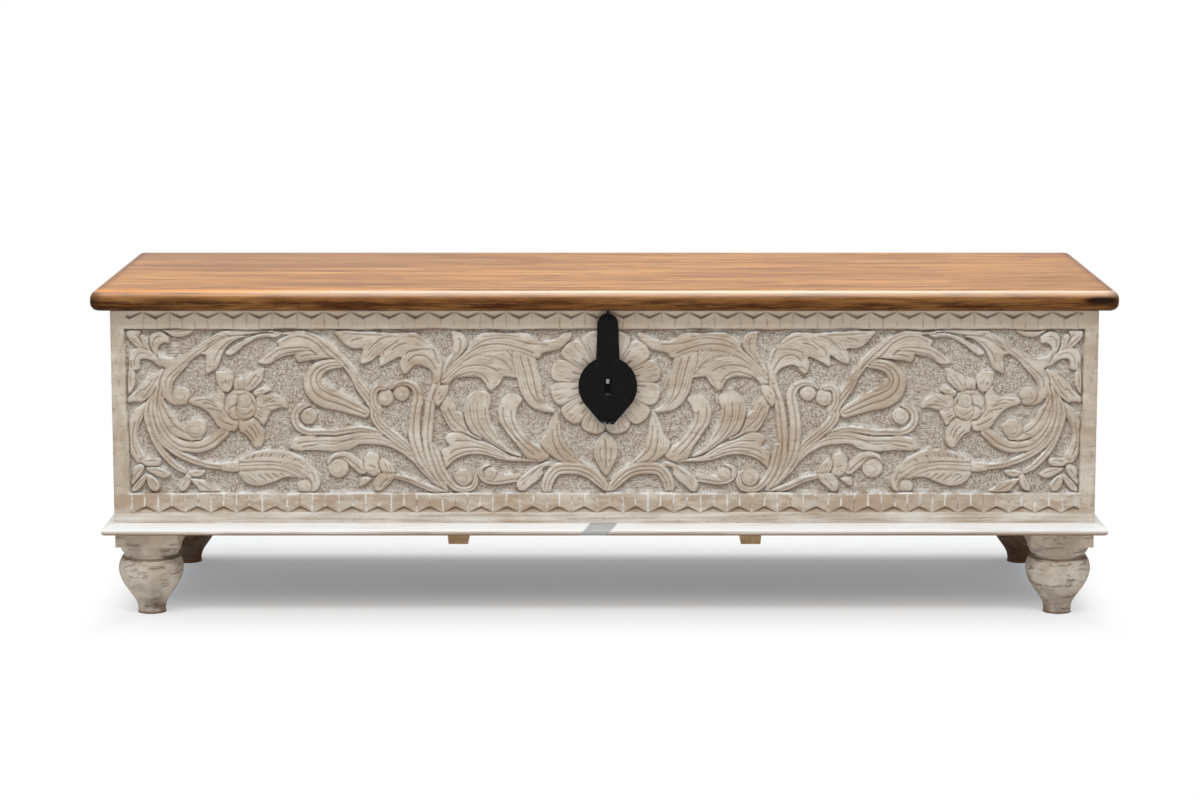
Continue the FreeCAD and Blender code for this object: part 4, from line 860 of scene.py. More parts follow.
# Edges of the carved panel's parts, in metres, each with the start and end of its fade
SKIRT_EDGE = ((LOW_BASE_Z - 0.5) * MM, (LOW_BASE_Z + 1.5) * MM)
LOWER_BAND_EDGE = ((FIELD_LOW - 4) * MM, FIELD_LOW * MM)
UPPER_BAND_EDGE = (FIELD_TOP * MM, (FIELD_TOP + 4) * MM)
STILE_EDGE = ((HALF_LENGTH - STILE_LOW) * MM, (HALF_LENGTH - STILE_TOP) * MM)
STILE_FOOT = ((LOW_BASE_Z - 6) * MM, (LOW_BASE_Z + 20) * MM)

# Base moulding: heights above its lower edge and places along it, in metres
MOULDING_COLOUR = paint(251, 251, 248)
MOULDING_BROWN = paint(129, 96, 68)
MOULDING_WHITE_EDGE, MOULDING_RAGGED = (0.0043, 0.0077), 0.004
MOULDING_NOSE, MOULDING_UNDERSIDE = (0.003, 0.0065), (0.0014, 0.0033)
MOULDING_WORN_END = (0.15, 0.5)
# A painted shadow: a slanted grey band across the moulding's front.
PAINTED_SHADOW_GREY = paint(160, 162, 163)
PAINTED_SHADOW_X, PAINTED_SHADOW_LEAN, PAINTED_SHADOW_EDGE, PAINTED_SHADOW_FRONT = -0.001, 1.15, (0.017, 0.02), (0.0, 0.01)

# Feet: heights above the floor, in metres
FOOT_GREY = paint(228, 215, 200)
FOOT_DARK_BROWN = paint(104, 79, 58)
FOOT_SCRATCH_GRAIN, FOOT_SCRATCH_TURN = (34, 34, 120), (0.5, 0.35, 0)
FOOT_SOLE, FOOT_SCUFFED = (0.0005, 0.004), (0.012, 0.05)
FOOT_NECK_Z, FOOT_NECK_LINE = 0.0785, (0.0005, 0.003)
FOOT_RING_LOW, FOOT_RING_TOP = (FOOT_NECK_Z, FOOT_NECK_Z + 0.003), (0.094, 0.096)
FOOT_BLOCK = (0.096, 0.098)
# Share of dark bare wood on each pair of feet; on the back pair it is partly painted shade.
FOOT_BARE_AND_SHADE = {"front": 0.07, "back": 0.85}

# Lid: depths below its top, and places from its edges or along it, in metres
LID_LIGHT = paint(200, 148, 93)
LID_MID = paint(178, 124, 71)
# Pale band on the nose's upper turn: partly wear, partly a painted highlight.
LID_WORN_AND_HIGHLIGHT = paint(238, 214, 190)
LID_DARK = paint(112, 72, 40)
LID_KNOT = paint(44, 26, 18)
LID_NOSE_BROWN = paint(70, 40, 20)
LID_AMBER_HIGHLIGHT = paint(216, 146, 80)
LID_GREY = paint(128, 96, 70)
LID_BOARD_SHIFT = (0.37, 0.21)
LID_NOSE, LID_RIM = (0.002, 0.017), 0.016
LID_TURN, LID_TURN_END = (0.0003, 0.0015), (0.0015, 0.011)
LID_ARRIS_DROP, LID_ARRIS_BACK, LID_ARRIS_X = (0.0015, 0.004), (0.012, 0.022), (-0.4, -0.2)
LID_GREY_X, LID_GREY_Y = (-0.65, 0.1), (-0.1, 0.2)
LID_DARK_END, LID_WORN_AND_HIGHLIGHT_X, LID_STAINED_END = (0.009, 0.024), (-0.55, -0.3), (0.05, 0.2)
LID_SHEEN = 0.02
LID_WAX_ROUGHNESS, LID_WAX_IOR = 0.42, 1.75
KNOT_PLACE = (0.662, -0.236, 0.437)
KNOT_STRETCH = (0.75, 0.75, 3.2)
KNOT_EDGE, KNOT_RAGGED = (0.024, 0.038), 0.03

# Iron
IRON_DARK, IRON_LIGHT = paint(10, 9, 9), paint(22, 20, 20)
IRON_RUST, IRON_RUBBED_AND_HIGHLIGHT = paint(58, 44, 36), paint(150, 147, 142)
HASP_TIP = (0.0015, 0.004)
SCREW_DARK, SCREW_LIGHT = paint(84, 80, 76), paint(126, 121, 115)
STAPLE_DARK, STAPLE_LIGHT = paint(40, 38, 36), paint(190, 186, 178)


def wash_colour(finish, grain):
    """Limewash rubbed over wood: streaks along the grain, clouds, and warm bare patches."""
    streak = finish.streaks(grain, 6.0, 0.6)
    colour = finish.ramp(streak, (0.36, WASH_MID), (0.6, WASH_LIGHT))
    cloud = finish.streaks(tuple(CLOUD_LEAST + CLOUD_SHARE * scale for scale in grain), 5.0, 0.62)
    colour = finish.mix(finish.times(finish.band(cloud, 0.44, 0.68), 0.8), colour, WASH_WARM)
    thread = finish.streaks(tuple(THREAD_TIMES * scale for scale in grain), 3.0, 0.7)
    return finish.mix(finish.times(finish.band(thread, 0.54, 0.72), 0.45), colour, WASH_DIRT_AND_SHADE), streak


def worn_frame(finish, colour):
    """The frame round the field: worn teeth below, smeared and flecked stiles, a warm band above."""
    x, _, z = finish.along()
    lower_band = finish.times(finish.band(z, *SKIRT_EDGE), finish.band(z, *LOWER_BAND_EDGE, reverse=True))
    teeth = finish.band(finish.streaks((34, 34, 90), 6.0, 0.72), 0.4, 0.6)
    colour = finish.mix(finish.times(lower_band, finish.lifted(teeth, 0.1, 0.85)), colour, WASH_WARM)
    stiles = finish.times(finish.band(finish.math("ABSOLUTE", x), *STILE_EDGE), finish.band(z, *STILE_FOOT))
    smear = finish.band(finish.streaks((34, 34, 16), 5.0, 0.65), 0.42, 0.66)
    colour = finish.mix(finish.times(stiles, smear, 0.7), colour, WASH_WARM)
    flecks = finish.band(finish.streaks((170, 170, 60), 4.0, 0.7), 0.56, 0.68)
    colour = finish.mix(finish.times(stiles, flecks, 0.45), colour, WASH_DIRT_AND_SHADE)
    return finish.mix(finish.times(finish.band(z, *UPPER_BAND_EDGE), 0.65), colour, WASH_BAND)


def punch_marks(finish):
    """Round pricks of the punch, drawn out to chisel cuts in patches."""
    pricks = finish.noise(finish.place, 480.0, 2.0)
    cuts = finish.streaks((110, 110, 480), 2.0)
    patch = finish.band(finish.noise(finish.place, 16.0, 2.0), 0.54, 0.64)
    return finish.mix(patch, pricks, cuts)


def drawn_skirt(finish, colour):
    """The plain skirt under the lower band, with long streaks of brown and of white; the white streaks are
    partly painted light that lifts the skirt as if it were lit more.
    """
    skirt = finish.band(finish.along()[2], *SKIRT_EDGE, reverse=True)
    drawn = finish.streaks((9, 60, 230), 5.0)
    brown = finish.band(drawn, 0.34, 0.46, reverse=True)
    colour = finish.mix(finish.times(skirt, brown, 0.6), colour, WASH_WARM)
    # Partly painted light: white streaks that lift the skirt's brightness.
    white = finish.band(drawn, 0.4, 0.65)
    return finish.mix(finish.times(skirt, white, 0.34), colour, WASH_WHITE)


def carved_wash():
    """Whitewash on the carving: a punched ground, dirt in the hollows and bare white on the crests."""
    finish = Finish("carved_whitewash")
    colour, streak = wash_colour(finish, GRAIN_CARVED)
    colour = worn_frame(finish, colour)
    speck = punch_marks(finish)
    ground = finish.ramp(speck, (0.34, WASH_GROUND_DARK), (0.64, WASH_GROUND))
    colour = finish.mix(finish.mark("ground"), colour, ground)
    # Dirt and painted shade from the hollow mark.
    colour = finish.mix(finish.times(finish.mark("hollow"), 0.9), colour, WASH_DIRT_AND_SHADE)
    colour = drawn_skirt(finish, colour)
    patchy = finish.band(finish.noise(finish.place, 60.0, 3.0), 0.35, 0.6)
    # Worn white and a painted highlight from the crest mark, on the edges that face up.
    colour = finish.mix(finish.times(finish.mark("crest"), patchy), colour, WASH_WHITE)
    finish.surface(Base_Color=colour, Roughness=0.82, Specular_IOR_Level=0.25)
    finish.bump(finish.math("ADD", streak, speck), 0.0004)
    return finish.material


def inner_share(finish):
    """1 on the faces that look into the trunk, 0 outside."""
    x, y, _ = finish.along()
    past_side = finish.math("SUBTRACT", finish.math("ABSOLUTE", x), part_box("side_panel_right")[0].x)
    past_back = finish.math("SUBTRACT", y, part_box("back_panel")[0].y)
    return finish.times(finish.band(past_side, *INNER_EDGE, reverse=True),
                        finish.band(past_back, *INNER_EDGE, reverse=True))


def raw_colour(finish, grain):
    """Planed wood without a finish, and its streaks."""
    streak = finish.streaks(grain, 5.0, 0.6, 0.4)
    return finish.ramp(streak, (0.3, RAW_DARK), (0.65, RAW_LIGHT)), streak


def raw_wood(name, grain):
    finish = Finish(name)
    colour, streak = raw_colour(finish, grain)
    finish.surface(Base_Color=colour, Roughness=0.78, Specular_IOR_Level=0.3)
    finish.bump(streak, 0.0005)
    return finish.material


def panel_wash(name, grain):
    """Plain washed planks outside, raw wood on the faces inside."""
    finish = Finish(name)
    colour, streak = wash_colour(finish, grain)
    scuff = finish.streaks(tuple(SCUFF_LEAST + SCUFF_SHARE * scale for scale in grain), 6.0, 0.7)
    colour = finish.mix(finish.times(finish.band(scuff, 0.56, 0.72), 0.35), colour, WASH_DIRT_AND_SHADE)
    colour = finish.mix(inner_share(finish), colour, raw_colour(finish, grain)[0])
    finish.surface(Base_Color=colour, Roughness=0.8, Specular_IOR_Level=0.3)
    finish.bump(streak, 0.0006)
    return finish.material


def moulding_wash(name, grain):
    """White on the upper slope, partly a painted highlight, beige lower on the nose with brown rubbed through
    at the right end, a brown underside that is partly painted shade, and a painted grey shadow in front.
    """
    finish = Finish(name)
    colour, streak = wash_colour(finish, grain)
    low, top = (corner.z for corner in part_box("base_moulding_front"))
    x, y, z = finish.along()
    up = finish.math("SUBTRACT", z, low)
    patch = finish.noise(finish.stretched(grain), 0.5, 4.0, 0.65)
    ragged = finish.math("ADD", up, finish.times(finish.math("SUBTRACT", patch, 0.5), MOULDING_RAGGED))
    # Near-white on the upper slope, set by height: partly the wash, partly a painted highlight from the light
    # above.
    white = finish.times(finish.band(ragged, *MOULDING_WHITE_EDGE), finish.band(patch, 0.2, 0.45))
    colour = finish.mix(white, colour, MOULDING_COLOUR)
    right_end = finish.times(finish.band(x, *MOULDING_WORN_END), finish.band(patch, 0.3, 0.55))
    nose = finish.band(up, *MOULDING_NOSE, reverse=True)
    colour = finish.mix(finish.times(right_end, nose, 0.45), colour, MOULDING_BROWN)
    # Brown underside: partly the wood's colour, partly painted shade under the nose.
    colour = finish.mix(finish.band(up, *MOULDING_UNDERSIDE, reverse=True), colour, MOULDING_BROWN)
    # Painted shadow: a slanted grey band across the front of the moulding.
    leaning = finish.times(finish.math("SUBTRACT", top, z), PAINTED_SHADOW_LEAN)
    beside = finish.math("ABSOLUTE", finish.math("SUBTRACT", finish.math("ADD", x, leaning), PAINTED_SHADOW_X))
    stain = finish.times(finish.band(beside, *PAINTED_SHADOW_EDGE, reverse=True),
                         finish.band(y, *PAINTED_SHADOW_FRONT, reverse=True))
    colour = finish.mix(finish.times(stain, 0.75), colour, PAINTED_SHADOW_GREY)
    finish.surface(Base_Color=colour, Roughness=0.6, Specular_IOR_Level=0.35)
    finish.bump(streak, 0.0005)
    return finish.material


def foot_wash(name, bare):
    """Rubbed wash on turned wood: grey clouds, scratches, dark lines at neck and sole, and a share of dark
    bare wood, which on the back feet is partly painted shade.
    """
    finish = Finish(name)
    colour, streak = wash_colour(finish, GRAIN_FOOT)
    grey = finish.band(finish.noise(finish.place, 22.0, 4.0), 0.45, 0.65)
    colour = finish.mix(finish.lifted(grey, 0.25, 0.5), colour, FOOT_GREY)
    scratched = finish.stretched(FOOT_SCRATCH_GRAIN, FOOT_SCRATCH_TURN)
    scratch = finish.band(finish.noise(scratched, 1.0, 6.0, 0.68, 0.8), 0.54, 0.65)
    colour = finish.mix(finish.times(scratch, 0.6), colour, FOOT_DARK_BROWN)
    z = finish.along()[2]
    colour = finish.mix(finish.times(finish.band(z, *FOOT_BLOCK), 0.6), colour, WASH_BAND)
    smudge = finish.band(finish.noise(finish.place, 34.0, 4.0), 0.4, 0.7)
    low = finish.band(z, *FOOT_SCUFFED, reverse=True)
    colour = finish.mix(finish.times(low, finish.lifted(smudge, 0.12, 0.5)), colour, FOOT_DARK_BROWN)
    off_neck = finish.math("ABSOLUTE", finish.math("SUBTRACT", z, FOOT_NECK_Z))
    neck = finish.band(off_neck, *FOOT_NECK_LINE, reverse=True)
    colour = finish.mix(finish.times(neck, 0.85), colour, FOOT_DARK_BROWN)
    colour = finish.mix(finish.band(z, *FOOT_SOLE, reverse=True), colour, FOOT_DARK_BROWN)
    ring = finish.times(finish.band(z, *FOOT_RING_LOW), finish.band(z, *FOOT_RING_TOP, reverse=True))
    # Dark bare wood, on the back feet partly painted shade.
    rubbed = finish.math("ADD", finish.lifted(smudge, bare, 0.3), finish.times(ring, 0.14))
    colour = finish.mix(rubbed, colour, FOOT_DARK_BROWN)
    finish.surface(Base_Color=colour, Roughness=0.78, Specular_IOR_Level=0.3)
    finish.bump(finish.math("SUBTRACT", streak, scratch), 0.0008)
    return finish.material


def lid_figure(finish, board):
    """The wood of a lid board: long figure crossed by dark clouds, lines, pores and flecks."""
    figure = finish.streaks((4.2, 46, 60), 7.0, 0.66, 0.8, board)
    cloud = finish.streaks((2.6, 9, 9), vector=board)
    line = finish.streaks((4, 120, 150), 5.0, 0.65, 1.2, board)
    pore = finish.streaks((16, 330, 420), 3.0, 0.6, 0.0, board)
    fleck = finish.streaks((9, 40, 60), 6.0, 0.72, 0.6, board)
    colour = finish.ramp(figure, (0.3, LID_DARK), (0.46, LID_MID), (0.64, LID_LIGHT))
    colour = finish.mix(finish.times(finish.band(cloud, 0.36, 0.62, reverse=True), 0.45), colour, LID_DARK)
    colour = finish.mix(finish.times(finish.band(line, 0.5, 0.66), 0.65), colour, LID_DARK)
    colour = finish.mix(finish.times(finish.band(pore, 0.5, 0.7), 0.4), colour, LID_DARK)
    colour = finish.mix(finish.times(finish.band(fleck, 0.5, 0.66), 0.6), colour, LID_DARK)
    return colour, figure, pore


def lid_weathering_and_highlight(finish, colour):
    """A greyer far left, darker ends and a painted amber highlight along the front arris on the left."""
    low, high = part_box("lid_board_front")
    x, y, z = finish.along()
    far_left = finish.times(finish.band(x, *LID_GREY_X, reverse=True), finish.band(y, *LID_GREY_Y))
    colour = finish.mix(finish.times(far_left, 0.45), colour, LID_GREY)
    from_end = finish.math("SUBTRACT", high.x, finish.math("ABSOLUTE", x))
    dark_end = finish.band(from_end, *LID_DARK_END, reverse=True)
    colour = finish.mix(finish.times(dark_end, 0.55), colour, LID_NOSE_BROWN)
    from_front = finish.math("SUBTRACT", y, low.y)
    below_top = finish.math("SUBTRACT", high.z, z)
    # Painted highlight: an amber line along the front arris on the left.
    arris = finish.times(finish.band(from_front, *LID_ARRIS_BACK, reverse=True),
                         finish.band(below_top, *LID_ARRIS_DROP, reverse=True),
                         finish.band(x, *LID_ARRIS_X, reverse=True))
    return finish.mix(finish.times(arris, 0.7), colour, LID_AMBER_HIGHLIGHT)


def nose_share(finish):
    """1 on the rounded nose below its turn, faint on the boards' underside, 0 on top."""
    low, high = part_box("lid_board_front")
    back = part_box("lid_board_back")[1].y
    x, y, z = finish.along()
    nose = finish.band(finish.math("SUBTRACT", high.z, z), *LID_NOSE)
    under = 1.0
    for place, near, far in ((x, low.x, high.x), (y, low.y, back)):
        under = finish.times(under, finish.band(place, near + LID_RIM, near + 2 * LID_RIM),
                             finish.band(place, far - 2 * LID_RIM, far - LID_RIM, reverse=True))
    return finish.times(nose, finish.lifted(under, 1.0, -0.8))


def knot_share(finish, figure, nose):
    """The dark knot in the nose by the front right corner, and the stained front left end."""
    far = finish.node("ShaderNodeVectorMath", operation="DISTANCE")
    finish.put(far.inputs[0], finish.stretched(KNOT_STRETCH))
    far.inputs[1].default_value = [place * stretch for place, stretch in zip(KNOT_PLACE, KNOT_STRETCH)]
    ragged = finish.math("ADD", far.outputs["Value"], finish.times(figure, KNOT_RAGGED))
    knot = finish.band(ragged, *KNOT_EDGE, reverse=True)
    from_left = finish.math("SUBTRACT", finish.along()[0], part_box("lid_board_front")[0].x)
    end = finish.band(from_left, *LID_STAINED_END, reverse=True)
    patchy = finish.band(finish.streaks((9, 30, 90)), 0.4, 0.6)
    return finish.math("MAXIMUM", knot, finish.times(end, patchy, nose, 0.7))


def lid_wood(name, offset):
    """Waxed boards with long figure, a nose stained and darkened downwards that is partly painted shade, and
    a pale turn that is partly a painted highlight; offset moves the figure from board to board.
    """
    finish = Finish(name)
    board = finish.node("ShaderNodeMapping", {"Vector": finish.place, "Location": offset}).outputs["Vector"]
    colour, figure, pore = lid_figure(finish, board)
    colour = lid_weathering_and_highlight(finish, colour)
    nose = nose_share(finish)
    # Stained end of the boards, partly painted shade: the nose darkens downwards.
    stained = finish.band(finish.streaks((12, 40, 170), 6.0, 0.7, 0.0, board), 0.38, 0.62)
    colour = finish.mix(finish.times(nose, finish.lifted(stained, 0.55, 0.45)), colour, LID_NOSE_BROWN)
    colour = finish.mix(knot_share(finish, figure, nose), colour, LID_KNOT)
    x, _, z = finish.along()
    below_top = finish.math("SUBTRACT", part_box("lid_board_front")[1].z, z)
    turn = finish.times(finish.band(below_top, *LID_TURN),
                        finish.band(below_top, *LID_TURN_END, reverse=True))
    # Partly wear, partly a painted highlight: a pale band on the nose's upper turn.
    worn = finish.times(turn, finish.band(x, *LID_WORN_AND_HIGHLIGHT_X), 0.4)
    colour = finish.mix(worn, colour, LID_WORN_AND_HIGHLIGHT)
    finish.surface(Base_Color=colour, Roughness=0.32, Specular_IOR_Level=LID_SHEEN, Coat_Weight=turn,
                   Coat_Roughness=LID_WAX_ROUGHNESS, Coat_IOR=LID_WAX_IOR)
    finish.bump(finish.math("ADD", pore, figure), 0.0003)
    return finish.material


def black_iron():
    """Blackened iron with a little rust, and pale rubbed patches at the hasp's tip that are partly a painted
    highlight on its lip.
    """
    finish = Finish("black_iron")
    scale = finish.noise(finish.place, 180.0, 5.0, 0.65)
    rust = finish.band(finish.noise(finish.place, 55.0, 4.0), 0.62, 0.75)
    colour = finish.ramp(scale, (0.35, IRON_DARK), (0.7, IRON_LIGHT))
    colour = finish.mix(finish.times(rust, 0.25), colour, IRON_RUST)
    # Partly wear, partly a painted highlight: pale patches on the lip at the hasp's tip.
    above_tip = finish.math("SUBTRACT", finish.along()[2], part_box("hasp_plate")[0].z)
    rubbed = finish.times(finish.band(above_tip, *HASP_TIP, reverse=True), finish.band(scale, 0.45, 0.6))
    colour = finish.mix(finish.times(rubbed, 0.6), colour, IRON_RUBBED_AND_HIGHLIGHT)
    finish.surface(Base_Color=colour, Metallic=0.0, Specular_IOR_Level=0.09,
                   Roughness=finish.band(scale, -0.4, 1.2))
    finish.bump(scale, 0.0004)
    return finish.material


def screw_iron(name, dark, light):
    """Bare iron between two tones."""
    finish = Finish(name)
    scale = finish.noise(finish.place, 400.0, 4.0)
    colour = finish.ramp(scale, (0.3, dark), (0.7, light))
    finish.surface(Base_Color=colour, Metallic=0.9, Roughness=0.42)
    finish.bump(scale, 0.0002)
    return finish.material


# Studio: a white floor and sky, and three soft lamps, each with a name, place, size and watts
SKY_LIGHT = 0.4
LAMPS = (("overhead_softbox", (0, 0.1, 2.8), (3.8, 1.6), 12),
         ("front_softbox", (-0.3, -2.1, 2.9), (3.0, 0.6), 57),
         ("sheen_strip", (0.22, 0.65, 2.8), (1.7, 1.6), 50))
LAMP_AIM = (0, 0, 0.3)
FLOOR_REACH = 30.0
FLOOR_DULL, FLOOR_BRIGHT = (0.9, 0.93, 0.95), (0.92, 0.95, 0.97)
# Painted light on the floor: a glow that lifts the trunk's shadow and clears it towards the front, back and
# ends, tinted cool by SHADOW_FILL where the shadow is deep.
FLOOR_CLEAR_FRONT, FLOOR_CLEAR_BACK = (-0.42, -0.02), (0.2, 0.75)
FLOOR_CLEAR_ENDS = (-0.1, 0.03)
FLOOR_GLOW = 0.225
SHADOW_FILL, FILL_END, FILL_END_BACK = (0.787, 0.895, 0.995), (0.0, 0.26), (0.1, 0.24)


def looking(tree):
    """1 for the rays that see the studio rather than light the trunk."""
    path = tree.nodes.new("ShaderNodeLightPath").outputs
    seen = path["Is Camera Ray"]
    for kind in ("Is Glossy Ray", "Is Transmission Ray"):
        either = tree.nodes.new("ShaderNodeMath")
        either.operation = "MAXIMUM"
        tree.links.new(seen, either.inputs[0])
        tree.links.new(path[kind], either.inputs[1])
        seen = either.outputs[0]
    return seen


def floor_white():
    """A white floor that keeps the soft shadow by the trunk, lifted by a painted glow that is tinted cool
    where the shadow is deep to cancel the brown bounce, and turns pure white away from it.
    """
    finish = Finish("studio_floor")
    faint = finish.noise(finish.place, 3.0, 2.0)
    finish.surface(Base_Color=finish.ramp(faint, (0.3, FLOOR_DULL), (0.7, FLOOR_BRIGHT)),
                   Roughness=0.9, Specular_IOR_Level=0.0)
    x, y, _ = finish.along()
    past_ends = finish.math("SUBTRACT", finish.math("ABSOLUTE", x), CAD_BOX[1][0])
    clear = finish.band(y, *FLOOR_CLEAR_FRONT, reverse=True)
    clear = finish.math("MAXIMUM", clear, finish.band(y, *FLOOR_CLEAR_BACK))
    clear = finish.math("MAXIMUM", clear, finish.band(past_ends, *FLOOR_CLEAR_ENDS))
    share = finish.node("ShaderNodeMapRange", {"Value": clear, "To Min": FLOOR_GLOW}).outputs["Result"]
    share = finish.times(share, looking(finish.tree))
    untinted = finish.math("MAXIMUM", finish.band(clear, *FILL_END), finish.band(y, *FILL_END_BACK))
    fill = finish.ramp(untinted, (0.0, SHADOW_FILL), (1.0, (1, 1, 1)))
    white = finish.node("ShaderNodeEmission", {"Color": fill}).outputs[0]
    mixed = finish.node("ShaderNodeMixShader", {"Fac": share})
    finish.put(mixed.inputs[1], finish.shader.outputs[0])
    finish.put(mixed.inputs[2], white)
    finish.put(finish.tree.nodes["Material Output"].inputs["Surface"], mixed.outputs[0])
    return finish.material


def studio_sky():
    """A sky that looks pure white and lights the trunk less than it looks."""
    world = bpy.data.worlds.new("studio_white")
    world.use_nodes = True
    bpy.context.scene.world = world
    tree = world.node_tree
    sky = tree.nodes["Background"]
    sky.inputs["Color"].default_value = (1, 1, 1, 1)
    level = tree.nodes.new("ShaderNodeMapRange")
    level.inputs["To Min"].default_value = SKY_LIGHT
    level.inputs["To Max"].default_value = 1.0
    tree.links.new(looking(tree), level.inputs["Value"])
    tree.links.new(level.outputs["Result"], sky.inputs["Strength"])


def studio_floor():
    corners = [(x * FLOOR_REACH, y * FLOOR_REACH, 0) for x, y in ((-1, -1), (1, -1), (1, 1), (-1, 1))]
    mesh = bpy.data.meshes.new("studio_floor")
    mesh.from_pydata(corners, [], [(0, 1, 2, 3)])
    floor = placed("studio_floor", mesh)
    mesh.materials.append(floor_white())


def studio_lamp(name, place, size, watts):
    lamp = bpy.data.lights.new(name, "AREA")
    lamp.shape = "RECTANGLE"
    lamp.size, lamp.size_y = size
    lamp.energy = watts
    lit = placed(name, lamp)
    lit.location = place
    lit.rotation_euler = (Vector(LAMP_AIM) - Vector(place)).to_track_quat("-Z", "Y").to_euler()


def photo_camera():
    camera = bpy.data.cameras.new("photo_camera")
    camera.lens = CAMERA_LENS
    camera.sensor_width = CAMERA_SENSOR
    camera.shift_x = -PHOTO_CENTRE_SHIFT / PHOTO_WIDTH
    camera.clip_end = CAMERA_FAR
    eye = placed("photo_camera", camera)
    eye.location = (0, -CAMERA_DISTANCE, CAMERA_HEIGHT)
    eye.rotation_euler = (math.radians(90 - CAMERA_PITCH), 0, 0)
    bpy.context.scene.camera = eye


def studio():
    """White sweep, soft light from above and in front, the photograph's camera."""
    bpy.context.scene.view_settings.view_transform = "Standard"
    studio_sky()
    studio_floor()
    for lamp in LAMPS:
        studio_lamp(*lamp)
    photo_camera()


# Screws: the CAD nodes with their body and the way into the wood; sizes are shares of the head's radius
SCREW_NODES = {"hinge_case_screws": ("case", (0, -1, 0)), "bearer_screws": ("case", (0, 0, 1)),
               "hinge_lid_screws": ("lid", (0, 0, 1)), "lid_batten_screws": ("lid", (0, 0, 1)),
               "stay_bracket_screws": ("lid", (0, 0, 1))}
SCREW_SEED = 5
SCREW_HEAD_HEIGHT, SCREW_SHANK, SCREW_SLOT = 0.54, 0.5, 0.3
HEAD_SIDES, SHANK_SIDES = 28, 16
SCREW_SIZES = ("Head Radius", "Head Height", "Shank Radius", "Shank Length", "Slot Width", "Slot Depth")


def screw_boxes(node):
    """Lowest and highest corner of each screw in a CAD node."""
    mesh = NODES[node].data
    corners, spot = np.unique(np.array([v.co for v in mesh.vertices]).round(5), axis=0, return_inverse=True)
    joined = spot.ravel()[np.array([list(edge.vertices) for edge in mesh.edges])]
    screw, before = np.arange(len(corners)), None
    while before is None or (screw != before).any():
        before = screw.copy()
        lower = screw[joined].min(axis=1)
        for side in (0, 1):
            np.minimum.at(screw, joined[:, side], lower)
        screw = screw[screw]
    return [(corners[screw == one].min(0), corners[screw == one].max(0)) for one in np.unique(screw)]


def screw_tree(material):
    """Nodes that set a slotted screw at each point, turned by chance, and the sockets of its sizes."""
    tree = bpy.data.node_groups.new("slotted_screws", "GeometryNodeTree")
    tree.interface.new_socket("Geometry", in_out="OUTPUT", socket_type="NodeSocketGeometry")
    tree.interface.new_socket("Geometry", in_out="INPUT", socket_type="NodeSocketGeometry")
    kinds = {**dict.fromkeys(SCREW_SIZES, "NodeSocketFloat"), "Into Wood": "NodeSocketVector"}
    socket = {name: tree.interface.new_socket(name, in_out="INPUT", socket_type=kind).identifier
              for name, kind in kinds.items()}

    def add(kind, inputs, **settings):
        made = tree.nodes.new(kind)
        for setting, value in settings.items():
            setattr(made, setting, value)
        for name, value in inputs.items():
            if isinstance(value, bpy.types.NodeSocket):
                tree.links.new(value, made.inputs[name])
            else:
                made.inputs[name].default_value = value
        return made.outputs

    given = tree.nodes.new("NodeGroupInput").outputs
    head = add("GeometryNodeMeshCone", {"Vertices": HEAD_SIDES, "Radius Bottom": given["Head Radius"],
                                        "Radius Top": given["Shank Radius"],
                                        "Depth": given["Head Height"]})["Mesh"]
    across = add("ShaderNodeMath", {0: given["Head Radius"], 1: 3.0}, operation="MULTIPLY")[0]
    deep = add("ShaderNodeMath", {0: given["Slot Depth"], 1: 2.0}, operation="MULTIPLY")[0]
    slot_size = add("ShaderNodeCombineXYZ", {"X": across, "Y": given["Slot Width"], "Z": deep})[0]
    slot = add("GeometryNodeMeshCube", {"Size": slot_size})["Mesh"]
    slotted = add("GeometryNodeMeshBoolean", {"Mesh 1": head, "Mesh 2": slot}, operation="DIFFERENCE")["Mesh"]
    shank = add("GeometryNodeMeshCylinder", {"Vertices": SHANK_SIDES, "Radius": given["Shank Radius"],
                                             "Depth": given["Shank Length"]})["Mesh"]
    half = add("ShaderNodeMath", {0: given["Shank Length"], 1: 0.5}, operation="MULTIPLY")[0]
    lift = add("ShaderNodeMath", {0: half, 1: given["Head Height"]}, operation="ADD")[0]
    raised = add("ShaderNodeCombineXYZ", {"Z": lift})[0]
    shank = add("GeometryNodeTransform", {"Geometry": shank, "Translation": raised})["Geometry"]
    whole = tree.nodes.new("GeometryNodeJoinGeometry")
    for part in (slotted, shank):
        tree.links.new(part, whole.inputs[0])
    aimed = add("FunctionNodeAlignRotationToVector", {"Vector": given["Into Wood"]}, axis="Z")[0]
    chance = add("FunctionNodeRandomValue", {"Max": math.pi, "Seed": SCREW_SEED}, data_type="FLOAT")
    turn = [out for out in chance if out.enabled][0]
    twist = add("FunctionNodeAxisAngleToRotation", {"Axis": (0, 0, 1), "Angle": turn})[0]
    turned = add("FunctionNodeRotateRotation", {"Rotation": aimed, "Rotate By": twist},
                 rotation_space="LOCAL")[0]
    set_in = add("GeometryNodeInstanceOnPoints", {"Points": given["Geometry"], "Instance": whole.outputs[0],
                                                  "Rotation": turned})["Instances"]
    solid = add("GeometryNodeRealizeInstances", {"Geometry": set_in})["Geometry"]
    done = add("GeometryNodeSetMaterial", {"Geometry": solid, "Material": material})["Geometry"]
    tree.links.new(done, tree.nodes.new("NodeGroupOutput").inputs[0])
    return tree, socket


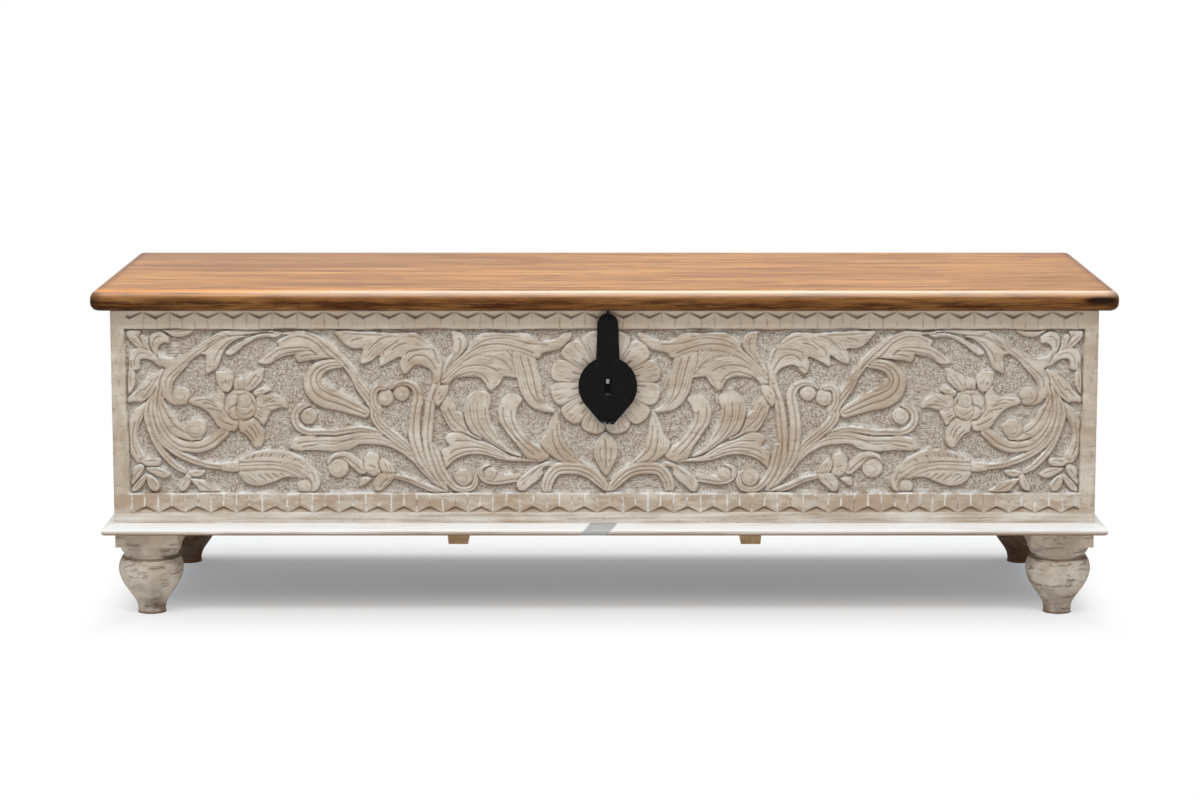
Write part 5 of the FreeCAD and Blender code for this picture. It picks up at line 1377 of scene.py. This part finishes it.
def slotted_screws(material):
    """Wood screws with turned slots where the CAD has plain ones."""
    tree, socket = screw_tree(material)
    for node, (body, into_wood) in SCREW_NODES.items():
        boxes = screw_boxes(node)
        axis = int(np.argmax(np.abs(into_wood)))
        size = boxes[0][1] - boxes[0][0]
        length, head = float(size[axis]), float(np.median(size)) / 2
        outer = 0 if sum(into_wood) > 0 else 1
        heads = []
        for box in boxes:
            middle = (box[0] + box[1]) / 2
            middle[axis] = box[outer][axis]
            heads.append(middle.tolist())
        seats = bpy.data.meshes.new(node + "_seats")
        seats.from_pydata(heads, [], [])
        piece = placed(node + "_slotted", seats)
        modifier = piece.modifiers.new("screws", "NODES")
        modifier.node_group = tree
        head_height, slot = SCREW_HEAD_HEIGHT * head, SCREW_SLOT * head
        sizes = (head, head_height, SCREW_SHANK * head, length - head_height, slot, slot)
        for name, value in zip(SCREW_SIZES, sizes):
            modifier[socket[name]] = value
        modifier[socket["Into Wood"]] = into_wood
        made = bpy.data.meshes.new_from_object(piece.evaluated_get(bpy.context.evaluated_depsgraph_get()))
        piece.modifiers.remove(modifier)
        piece.data = made
        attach(piece, body)
        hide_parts(node)


def dress(material, *names):
    """Gives CAD nodes a material."""
    for name in names:
        slots = NODES[name].data.materials
        slots.clear()
        slots.append(material)


def washed_outside():
    """Whitewash on the panels, the moulding and the feet, and wax on the lid boards."""
    dress(panel_wash("panel_whitewash_long", GRAIN_LONG), "back_panel")
    dress(panel_wash("panel_whitewash_end", GRAIN_ACROSS), "side_panel_left", "side_panel_right")
    dress(moulding_wash("moulding_whitewash_long", GRAIN_LONG), "base_moulding_front", "base_moulding_back")
    dress(moulding_wash("moulding_whitewash_end", GRAIN_ACROSS), "base_moulding_left", "base_moulding_right")
    for end, bare in FOOT_BARE_AND_SHADE.items():
        dress(foot_wash("foot_whitewash_" + end, bare), "foot_%s_left" % end, "foot_%s_right" % end)
    for number, board in enumerate(("front", "middle", "back")):
        offset = (*(number * shift for shift in LID_BOARD_SHIFT), 0)
        dress(lid_wood("lid_wood_" + board, offset), "lid_board_" + board)


def finishes():
    """Gives every CAD node its material and sets the carved front and the slotted screws in their places."""
    iron = black_iron()
    screws = screw_iron("screw_iron", SCREW_DARK, SCREW_LIGHT)
    rubbed = screw_iron("rubbed_iron", STAPLE_DARK, STAPLE_LIGHT)
    plank = raw_wood("raw_plank", GRAIN_PLANK)
    washed_outside()
    batten = raw_wood("raw_batten", GRAIN_BATTEN)
    block = raw_wood("raw_block", GRAIN_UPRIGHT)
    for name in NODES:
        if name.startswith("floor_board"):
            dress(plank, name)
        elif name.startswith(("floor_bearer", "lid_batten_")) and "screws" not in name:
            dress(batten, name)
        elif name.startswith(("corner_block", "panel_dowels")):
            dress(block, name)
        elif name.endswith("screws") or name == "foot_studs":
            dress(screws, name)
        elif name.startswith(("hinge", "hasp", "staple", "stay")):
            dress(rubbed if name == "hasp_staple" else iron, name)
    carved_front(carved_wash(), plank)
    slotted_screws(screws)


finishes()
studio()
